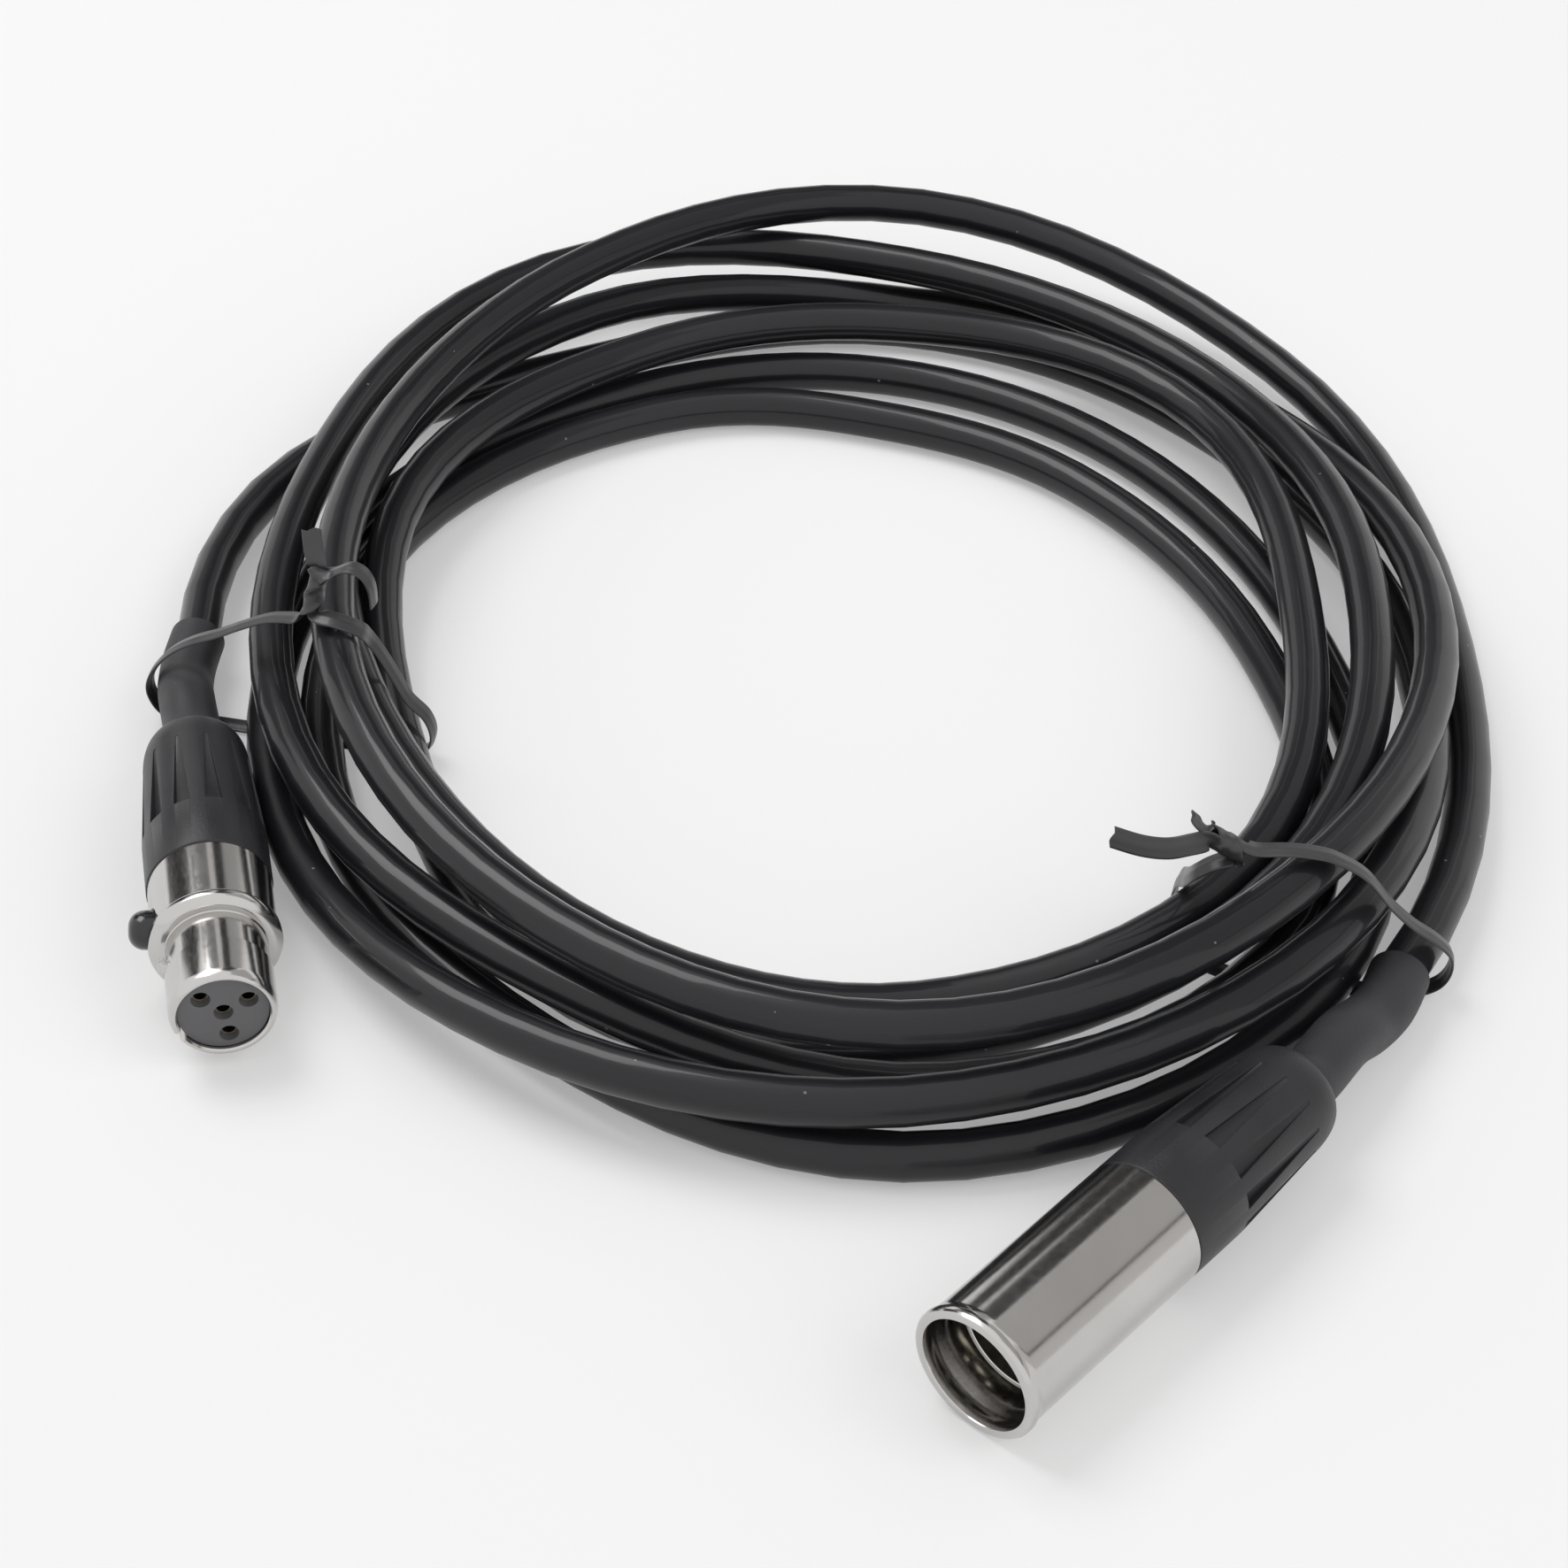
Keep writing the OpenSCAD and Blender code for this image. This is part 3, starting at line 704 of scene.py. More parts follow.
def closed_piece(name: str, bm: bmesh.types.BMesh, angle: float = SMOOTH_ANGLE) -> bpy.types.Object:
    """Turns closed faces into a smoothed piece that faces outwards.

    Args:
        name: Name of the piece and of its mesh.
        bm: The faces, in metres in the row frame.
        angle: Edges sharper than this stay sharp.

    Returns:
        The piece.
    """
    bmesh.ops.recalc_face_normals(bm, faces=bm.faces)
    piece = mesh_piece(name, bm)
    finish_mesh(piece.data, angle)
    return piece


def join_rings(bm: bmesh.types.BMesh, rings: list[list[bmesh.types.BMVert]], closed: bool) -> None:
    """Makes a wall of faces between neighbouring rings of vertices.

    Args:
        bm: Where the faces go.
        rings: Rings with as many vertices each. A ring on the axis repeats one vertex.
        closed: Whether the last ring is joined to the first.
    """
    for ring, following in zip(rings, rings[1:] + rings[:1] if closed else rings[1:]):
        for k in range(len(ring)):
            after = (k + 1) % len(ring)
            corners = list(dict.fromkeys((ring[k], ring[after], following[after], following[k])))
            if len(corners) > 2:
                bm.faces.new(corners)


def lathe(name: str, profile: list[tuple[float, float]], place: Matrix, steps: int) -> bpy.types.Object:
    """Turns a closed profile round the plug's axis.

    Args:
        name: Name of the piece.
        profile: Corners as (radius, height); a radius of 0 lies on the axis.
        place: From plug millimetres to the row frame.
        steps: Stretches round the axis.

    Returns:
        The turned piece, closed and facing outwards.
    """
    bm = bmesh.new()
    turns = [2 * math.pi * k / steps for k in range(steps)]
    rings = []
    for radius, height in profile:
        if radius == 0:
            rings.append([bm.verts.new((0, 0, height))] * steps)
        else:
            rings.append([bm.verts.new((radius * math.cos(turn), radius * math.sin(turn), height))
                          for turn in turns])
    join_rings(bm, rings, closed=True)
    bm.transform(place)
    return closed_piece(name, bm)


def prism(name: str, outline: list[tuple[float, float]], low: float, high: float,
          place: Matrix) -> bpy.types.Object:
    """Raises a flat outline into a closed block.

    Args:
        name: Name of the piece.
        outline: Corners in the plane, in order.
        low: Height of the lower face.
        high: Height of the upper face.
        place: From the outline's own frame to the row frame.

    Returns:
        The block.
    """
    bm = bmesh.new()
    rows = [[bm.verts.new((x, y, z)) for x, y in outline] for z in (low, high)]
    bm.faces.new(rows[0][::-1])
    bm.faces.new(rows[1])
    join_rings(bm, rows, closed=False)
    bm.transform(place)
    bmesh.ops.recalc_face_normals(bm, faces=bm.faces)
    return mesh_piece(name, bm)


def evaluated_mesh(piece: bpy.types.Object) -> bpy.types.Mesh:
    """Returns a piece's mesh as its modifiers leave it."""
    depsgraph = bpy.context.evaluated_depsgraph_get()
    return bpy.data.meshes.new_from_object(piece.evaluated_get(depsgraph))


def settle(piece: bpy.types.Object) -> None:
    """Turns a piece's live modifiers into plain mesh.

    Args:
        piece: The piece.
    """
    mesh = evaluated_mesh(piece)
    piece.modifiers.clear()
    piece.data = mesh
    finish_mesh(mesh)


def cut(piece: bpy.types.Object, tools: list[bpy.types.Object]) -> None:
    """Cuts tool shapes out of a piece and throws the tools away.

    Args:
        piece: The piece to cut.
        tools: Closed shapes.
    """
    for tool in tools:
        step = piece.modifiers.new("cut", "BOOLEAN")
        step.operation = "DIFFERENCE"
        step.solver = "EXACT"
        step.object = tool
    settle(piece)
    for tool in tools:
        bpy.data.objects.remove(tool)


def soften(piece: bpy.types.Object, width: float, degrees: float = 40.0) -> None:
    """Rounds a piece's hard edges.

    Args:
        piece: The piece.
        width: Width of the rounding in millimetres.
        degrees: Edges sharper than this are rounded.
    """
    bevel = piece.modifiers.new("soften", "BEVEL")
    bevel.width = width * MM
    bevel.segments = 2
    bevel.limit_method = "ANGLE"
    bevel.angle_limit = math.radians(degrees)
    settle(piece)


# ---------------------------------------------------------------- geometry nodes


def geometry_tree(name: str, inputs: dict[str, tuple[str, object]]) -> bpy.types.NodeTree:
    """Makes a Geometry Nodes tree with a geometry in and out and named sizes.

    Args:
        name: Name of the tree.
        inputs: Socket type and default value by name.

    Returns:
        The tree, with its input and output nodes in place.
    """
    tree = bpy.data.node_groups.new(name, "GeometryNodeTree")
    tree.interface.new_socket("Geometry", in_out="INPUT", socket_type="NodeSocketGeometry")
    for label, (kind, value) in inputs.items():
        socket = tree.interface.new_socket(label, in_out="INPUT", socket_type=kind)
        if value is not None:
            socket.default_value = value
    tree.interface.new_socket("Geometry", in_out="OUTPUT", socket_type="NodeSocketGeometry")
    tree.nodes.new("NodeGroupInput").name = "in"
    tree.nodes.new("NodeGroupOutput").name = "out"
    return tree


def close_tree(tree: bpy.types.NodeTree, result: bpy.types.NodeSocket) -> None:
    """Ends a tree in Realize Instances and Set Material.

    Args:
        tree: The tree.
        result: The geometry to hand out.
    """
    realize = add_node(tree, "GeometryNodeRealizeInstances", {"Geometry": result})
    paint = add_node(tree, "GeometryNodeSetMaterial", {
        "Geometry": realize.outputs["Geometry"], "Material": tree.nodes["in"].outputs["Material"],
    })
    feed(tree, tree.nodes["out"], {"Geometry": paint.outputs["Geometry"]})


def build_tube_tree() -> bpy.types.NodeTree:
    """Makes the tree that sweeps a round section along a route.

    Returns:
        A tree with the inputs Radius, Sides and Material.
    """
    tree = geometry_tree("round_tube", {
        "Radius": ("NodeSocketFloat", 0.0019),
        "Sides": ("NodeSocketInt", 20),
        "Material": ("NodeSocketMaterial", None),
    })
    given = tree.nodes["in"].outputs
    section = add_node(tree, "GeometryNodeCurvePrimitiveCircle", {
        "Radius": given["Radius"], "Resolution": given["Sides"],
    })
    sweep = add_node(tree, "GeometryNodeCurveToMesh", {
        "Curve": given["Geometry"], "Profile Curve": section.outputs["Curve"], "Fill Caps": True,
    })
    close_tree(tree, sweep.outputs["Mesh"])
    return tree


def build_flute_tree() -> bpy.types.NodeTree:
    """Makes the tree that cuts a ring of equal flutes out of a boot.

    Returns:
        A tree with the inputs Flutes, Cutter and Material.
    """
    tree = geometry_tree("boot_flutes", {
        "Flutes": ("NodeSocketInt", 12),
        "Cutter": ("NodeSocketObject", None),
        "Material": ("NodeSocketMaterial", None),
    })
    given = tree.nodes["in"].outputs
    spots = add_node(tree, "GeometryNodePoints", {"Count": given["Flutes"]})
    cutter = add_node(tree, "GeometryNodeObjectInfo", {"Object": given["Cutter"]})
    middle = math_node(tree, "ADD", tree.nodes.new("GeometryNodeInputIndex").outputs[0], 0.5)
    share = math_node(tree, "DIVIDE", middle, given["Flutes"])
    spin = add_node(tree, "ShaderNodeCombineXYZ", {"Z": math_node(tree, "MULTIPLY", share, 2 * math.pi)})
    copies = add_node(tree, "GeometryNodeInstanceOnPoints", {
        "Points": spots.outputs[0], "Instance": cutter.outputs["Geometry"], "Rotation": spin.outputs[0],
    })
    solid = add_node(tree, "GeometryNodeRealizeInstances", {"Geometry": copies.outputs["Instances"]})
    trim = tree.nodes.new("GeometryNodeMeshBoolean")
    trim.operation = "DIFFERENCE"
    trim.solver = "EXACT"
    feed(tree, trim, {"Mesh 1": given["Geometry"], "Mesh 2": solid.outputs["Geometry"]})
    close_tree(tree, trim.outputs["Mesh"])
    return tree


def set_inputs(modifier: bpy.types.Modifier, **values: object) -> None:
    """Sets a Geometry Nodes modifier's inputs, through their identifiers.

    Args:
        modifier: The modifier.
        **values: Values by input name, with underscores for the spaces.
    """
    wanted = {name.replace("_", " "): value for name, value in values.items()}
    for item in modifier.node_group.interface.items_tree:
        if item.item_type == "SOCKET" and item.in_out == "INPUT" and item.name in wanted:
            modifier[item.identifier] = wanted[item.name]


class Trees:
    """The Geometry Nodes trees, built once."""

    MERGE = 1e-7

    def __init__(self) -> None:
        """Builds each tree."""
        self.tube = build_tube_tree()
        self.flutes = build_flute_tree()

    def tube_piece(self, name: str, route: list[Vector], radius: float, sides: int,
                   material: bpy.types.Material) -> bpy.types.Object:
        """Sweeps a round section along a route.

        Args:
            name: Name of the piece.
            route: Points in millimetres in the row frame.
            radius: Radius in millimetres.
            sides: Sides of the section.
            material: Its material.

        Returns:
            A plain mesh piece.
        """
        curve = bpy.data.curves.new(name, "CURVE")
        curve.dimensions = "3D"
        spline = curve.splines.new("POLY")
        spline.points.add(len(route) - 1)
        spline.points.foreach_set("co", [n for p in route for n in (p.x * MM, p.y * MM, p.z * MM, 1.0)])
        draft = linked(name, curve)
        sweep = draft.modifiers.new("sweep", "NODES")
        sweep.node_group = self.tube
        set_inputs(sweep, Radius=radius * MM, Sides=sides, Material=material)
        mesh = evaluated_mesh(draft)
        bpy.data.objects.remove(draft)
        bm = bmesh.new()
        bm.from_mesh(mesh)
        bmesh.ops.remove_doubles(bm, verts=bm.verts, dist=self.MERGE)
        bmesh.ops.recalc_face_normals(bm, faces=bm.faces)
        bm.to_mesh(mesh)
        bm.free()
        finish_mesh(mesh, SOFT_ANGLE)
        return linked(name, mesh)


# ---------------------------------------------------------------- sub-assemblies


@dataclass
class Workshop:
    """What every sub-assembly needs: the layout, the finishes and the trees."""

    layout: Layout
    finishes: Finishes
    trees: Trees

    def place(self, piece: bpy.types.Object, slot: Slot, body: Body, *nodes: str) -> None:
        """Finishes a piece and hands it to its body.

        Args:
            piece: The piece.
            slot: Its finish.
            body: What it rides on.
            *nodes: CAD nodes that it stands for.
        """
        self.finishes.wear(piece, slot)
        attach(piece, body.value)
        if nodes:
            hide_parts(*nodes)
        LOG.info("%s: %d faces on %s", piece.name, len(piece.data.polygons), body.value)

    def dress(self, slot: Slot, *nodes: str) -> None:
        """Gives carried-over CAD nodes their finish.

        Args:
            slot: The finish.
            *nodes: Their names.
        """
        for name in nodes:
            self.finishes.wear(frame["nodes"][name], slot)
            LOG.info("%s keeps its solid, in %s", name, slot.value)


@dataclass
class Cable:
    """The one cable, from inside the male boot round the coil to inside the female boot."""

    shop: Workshop
    diameter: float = 3.8
    sides: int = 22

    def build(self) -> None:
        """Sweeps the cable along its route."""
        layout = self.shop.layout
        route = layout.whole_cable()
        piece = self.shop.trees.tube_piece("coiled_cable", route, self.diameter / 2, self.sides,
                                           self.shop.finishes.materials[Slot.JACKET])
        self.shop.place(piece, Slot.JACKET, Body.CABLE, "cable_coil", "male_lead", "female_lead")
        self.piece, self.route = piece, route


@dataclass
class Sleeve:
    """A shrink sleeve over the cable between the coil and a boot."""

    shop: Workshop
    name: str
    node: str
    route: list[Vector]
    outer: float = 2.4
    inner: float = 1.93
    steps: int = 40
    lip: float = 0.12

    def build(self) -> bpy.types.Object:
        """Makes the sleeve as a walled tube with softly rounded ends.

        Returns:
            The piece.
        """
        bm = bmesh.new()
        route, ways = self.route, ways_along(self.route)
        rows = [(centre, way, self.outer) for centre, way in zip(route, ways)]
        rows[0] = (route[0] + ways[0] * self.lip, ways[0], self.outer)
        rows[-1] = (route[-1] - ways[-1] * self.lip, ways[-1], self.outer)
        rows.insert(0, (route[0], ways[0], self.outer - self.lip))
        rows.append((route[-1], ways[-1], self.outer - self.lip))
        rows += [(centre, way, self.inner) for centre, way, _ in rows[::-1]]
        turns = [2 * math.pi * k / self.steps for k in range(self.steps)]
        rings = []
        for centre, way, radius in rows:
            side = way.cross(Vector((0, 0, 1))).normalized()
            up = side.cross(way)
            rings.append([bm.verts.new((centre + (side * math.cos(turn) + up * math.sin(turn)) * radius) * MM)
                          for turn in turns])
        join_rings(bm, rings, closed=True)
        piece = closed_piece(self.name, bm)
        self.shop.place(piece, Slot.SLEEVE, Body.CABLE, self.node)
        return piece


@dataclass
class Boot:
    """A fluted strain relief boot, drawn along +Z with its spigot in front."""

    shop: Workshop
    name: str
    node: str
    place: Matrix
    length: float = 18.3
    front_r: float = 5.0
    rear_r: float = 4.4
    end_r: float = 3.45
    collar: float = 5.6
    dome: float = 3.2
    spigot_r: float = 3.95
    spigot: float = 3.0
    hole_r: float = 2.5
    hole_len: float = 8.6
    flare: float = 0.25
    clamp_r: float = 3.3
    edge: float = 0.12
    flutes: int = 12
    flute_half_w: float = 0.7
    flute_tip_half_w: float = 0.15
    flute_floor: float = 0.05
    rounding: float = 0.09
    steps: int = 120

    def profile(self) -> list[tuple[float, float]]:
        """Lists the boot's section.

        Returns:
            Its corners as (radius, height), closed.
        """
        arc = quarter((self.end_r, self.dome - self.length), (self.rear_r - self.end_r, -self.dome))
        outside = [(self.spigot_r, self.spigot), (self.spigot_r, 0.0), (self.front_r - self.edge, 0.0),
                   (self.front_r, -self.edge), (self.front_r, -self.collar)] + arc
        step = -self.length + self.hole_len
        inside = [(self.hole_r + self.flare, -self.length), (self.hole_r, -self.length + self.flare),
                  (self.hole_r, step), (self.clamp_r, step), (self.clamp_r, self.spigot)]
        return outside + inside

    def build(self) -> bpy.types.Object:
        """Turns the boot, cuts its flutes and rounds its edges.

        Returns:
            The piece.
        """
        boot = lathe(self.name, self.profile(), Matrix.Scale(MM, 4), self.steps)
        floor = self.rear_r - self.flute_floor
        tip = self.length - self.dome - 0.1
        outline = [(-self.collar, -self.flute_half_w), (-self.collar, self.flute_half_w),
                   (-tip, self.flute_tip_half_w), (-tip, -self.flute_tip_half_w)]
        lay_out = Matrix(((0, 0, 1, 0), (0, 1, 0, 0), (1, 0, 0, 0), (0, 0, 0, 1)))
        cutter = prism("flute_cutter", outline, floor, self.front_r + 0.6, Matrix.Scale(MM, 4) @ lay_out)
        rings = boot.modifiers.new("flutes", "NODES")
        rings.node_group = self.shop.trees.flutes
        set_inputs(rings, Flutes=self.flutes, Cutter=cutter,
                   Material=self.shop.finishes.materials[Slot.BOOT])
        settle(boot)
        bpy.data.objects.remove(cutter)
        boot.data.materials.clear()
        soften(boot, self.rounding, 30.0)
        boot.data.transform(self.place @ Matrix.Scale(1 / MM, 4))
        finish_mesh(boot.data)
        self.shop.place(boot, Slot.BOOT, Body.CABLE, self.node)
        return boot


def quarter(centre: tuple[float, float], radii: tuple[float, float]) -> list[tuple[float, float]]:
    """Returns a quarter of an oval, from its side to its top."""
    return [(centre[0] + radii[0] * x, centre[1] + radii[1] * y)
            for x, y in (polar(degrees, 1.0) for degrees in range(0, 91, 9))]


def turned(degrees: float) -> Matrix:
    """Returns a turn about a plug's axis."""
    return Matrix.Rotation(math.radians(degrees), 4, "Z")


def block_outline(inner: float, outer: float, half_w: float) -> list[tuple[float, float]]:
    """Returns the outline of a straight rib or slot that runs outward from a plug's axis."""
    return [(inner, -half_w), (outer, -half_w), (outer, half_w), (inner, half_w)]


@dataclass
class MalePlug:
    """The male plug: polished shell with a key, four pins in a dark insert, boot and sleeve."""

    shop: Workshop
    length: float = 18.7
    shell_r: float = 5.0
    lip_r: float = 5.2
    mouth_r: float = 4.4
    mouth: float = 4.4
    bore_r: float = 4.2
    rear_bore_r: float = 4.0
    rear_bore: float = 3.9
    edge: float = 0.08
    groove: float = 0.22
    key_at: float = 97.0
    key_half_w: float = 0.45
    key_up: float = 0.6
    key_back: float = 9.45
    rounding: float = 0.06
    steps: int = 128

    def shell(self) -> None:
        """Makes the polished shell, with its rolled lip, catch groove and key rib.

        Points beside a rounding, on a straight wall, keep that wall's shading even.
        """
        front = self.length
        groove_r = self.mouth_r + self.groove
        profile = [
            (self.rear_bore_r, 0.0), (self.shell_r - self.edge, 0.0), (self.shell_r, self.edge),
            (self.shell_r, 0.3), (self.shell_r, front - 1.35), (self.shell_r, front - 1.15),
            (self.lip_r - 0.05, front - 0.8), (self.lip_r, front - 0.6), (self.lip_r - 0.02, front - 0.25),
            (self.lip_r - 0.12, front - 0.08), (self.lip_r - 0.32, front), (self.mouth_r + 0.2, front),
            (self.mouth_r + 0.06, front - 0.06), (self.mouth_r, front - 0.2), (self.mouth_r, front - 1.0),
            (groove_r, front - 1.05), (groove_r, front - 1.7), (self.mouth_r, front - 2.2),
            (self.mouth_r, front - self.mouth), (self.bore_r + 0.05, front - self.mouth),
            (self.bore_r, front - self.mouth - 0.05), (self.bore_r, self.rear_bore),
            (self.rear_bore_r, self.rear_bore),
        ]
        place = self.shop.layout.male.matrix()
        shell = lathe("male_shell_dressed", profile, place, self.steps)
        outline = block_outline(self.bore_r - self.key_up, self.bore_r + 0.1, self.key_half_w)
        rib = prism("male_key_rib", outline, front - self.key_back, front - self.mouth,
                    place @ turned(self.key_at))
        soften(rib, self.rounding)
        self.shop.place(shell, Slot.SHELL, Body.CABLE, "male_shell")
        self.shop.place(rib, Slot.SHELL, Body.CABLE)

    def build(self) -> None:
        """Builds the plug's pieces and dresses its carried-over nodes."""
        layout = self.shop.layout
        self.shell()
        Boot(self.shop, "male_boot_dressed", "male_boot", layout.male.matrix()).build()
        Sleeve(self.shop, "male_sleeve_dressed", "male_sleeve",
               layout.sleeve(layout.coil_start, layout.male_lead())).build()
        self.shop.dress(Slot.MALE_INSERT, "male_insert")
        self.shop.dress(Slot.CONTACT, *(f"male_pin_{n}" for n in range(1, 5)))
        self.shop.dress(Slot.CORES, "male_cores")
        self.shop.dress(Slot.CLAMP, "male_clamp")


@dataclass
class FemalePlug:
    """The female plug: polished body and nose, grey insert, latch with its button, boot and sleeve."""

    shop: Workshop
    back: float = -7.3
    body_r: float = 4.9
    rim_r: float = 5.2
    nose_r: float = 4.15
    nose: float = 7.7
    bore_r: float = 3.5
    rear_bore_r: float = 4.0
    rear_bore: float = 4.3
    edge: float = 0.08
    relief: float = 0.2
    key_at: float = 115.0
    key_half_w: float = 0.5
    key_from: float = 1.4
    latch_at: float = 80.0
    window_half_w: float = 0.65
    window: tuple[float, float] = (1.25, 3.25)
    button_r: float = 1.55
    button_z: float = -2.4
    button_foot: float = 3.85
    button_top: float = 6.6
    button_edge: float = 1.25
    button_room: float = 0.15
    stem_r: float = 0.45
    stem_foot: float = 3.0
    rounding: float = 0.05
    steps: int = 128
    pieces: list[bpy.types.Object] = field(default_factory=list)

    def button_place(self) -> Matrix:
        """Returns the placing of what stands out sideways at the button, drawn along +Z."""
        sideways = Matrix.Translation((0, 0, self.button_z)) @ Matrix.Rotation(math.pi / 2, 4, "Y")
        return self.shop.layout.female.matrix() @ turned(self.latch_at) @ sideways

    def shell(self) -> None:
        """Makes the polished body with its flange and nose, and cuts the keyway, window and button hole.

        Points beside a rounding, on a straight wall, keep that wall's shading even.
        """
        nose, back = self.nose, self.back
        relief_r, rear_bore = self.nose_r - self.relief, self.back + self.rear_bore
        profile = [
            (self.rear_bore_r, back), (self.body_r - self.edge, back), (self.body_r, back + self.edge),
            (self.body_r, back + 0.3), (self.body_r, -1.6), (self.body_r, -1.42),
            (self.rim_r - 0.1, -1.25), (self.rim_r - 0.02, -1.16), (self.rim_r, -1.05),
            (self.rim_r, -0.65), (self.rim_r - 0.04, -0.52), (self.rim_r - 0.14, -0.4),
            (self.nose_r + 0.5, -0.06), (self.nose_r + 0.36, 0.0), (relief_r + self.edge, 0.0),
            (relief_r, self.edge), (relief_r, 0.3), (relief_r, 2.95), (relief_r, 3.15),
            (self.nose_r, 3.3), (self.nose_r, 3.5), (self.nose_r, nose - 0.95),
            (self.nose_r - 0.01, nose - 0.75), (self.nose_r - 0.05, nose - 0.5),
            (self.nose_r - 0.14, nose - 0.24), (self.nose_r - 0.26, nose - 0.07),
            (self.nose_r - 0.4, nose), (self.bore_r + 0.12, nose - 0.02), (self.bore_r, nose - 0.16),
            (self.bore_r, rear_bore), (self.rear_bore_r, rear_bore),
        ]
        place = self.shop.layout.female.matrix()
        shell = lathe("female_shell_dressed", profile, place, self.steps)
        inner, outer = 2.0, self.rim_r + 0.8
        keyway = prism("keyway_tool", block_outline(inner, outer, self.key_half_w), self.key_from, nose + 1,
                       place @ turned(self.key_at))
        window = prism("window_tool", block_outline(inner, outer, self.window_half_w), *self.window,
                       place @ turned(self.latch_at))
        ring = [polar(k * 10, self.button_r + self.button_room) for k in range(36)]
        hole = prism("button_hole_tool", ring, inner, self.button_top + 0.4, self.button_place())
        cut(shell, [keyway, window, hole])
        soften(shell, self.rounding, 55.0)
        self.shop.place(shell, Slot.SHELL, Body.CABLE, "female_shell")
        self.pieces.append(shell)

    def button(self) -> None:
        """Makes the domed latch button on its stem."""
        foot, top, edge = self.button_foot, self.button_top, self.button_edge
        dome = quarter((self.button_r - edge, top - edge), (edge, edge))[::-1]
        stem = [(self.stem_r, foot), (self.stem_r, self.stem_foot), (0, self.stem_foot)]
        profile = [(0, top)] + dome + [(self.button_r, foot + 0.1), (self.button_r - 0.1, foot)] + stem
        button = lathe("latch_button_dressed", profile, self.button_place(), self.steps // 2)
        self.shop.place(button, Slot.BUTTON, Body.LATCH, "latch_button")

    def build(self) -> None:
        """Builds the plug's pieces and dresses its carried-over nodes."""
        layout = self.shop.layout
        self.shell()
        self.button()
        boot_place = layout.female.matrix() @ Matrix.Translation((0, 0, self.back))
        self.pieces.append(Boot(self.shop, "female_boot_dressed", "female_boot", boot_place).build())
        self.pieces.append(Sleeve(self.shop, "female_sleeve_dressed", "female_sleeve",
                                  layout.sleeve(layout.coil_stop, layout.female_lead())).build())
        self.shop.dress(Slot.FEMALE_INSERT, "female_insert")
        self.shop.dress(Slot.CONTACT, *(f"female_socket_{n}" for n in range(1, 5)))
        self.shop.dress(Slot.CORES, "female_cores")
        self.shop.dress(Slot.CLAMP, "female_clamp")
        self.shop.dress(Slot.LEVER, "latch_lever")


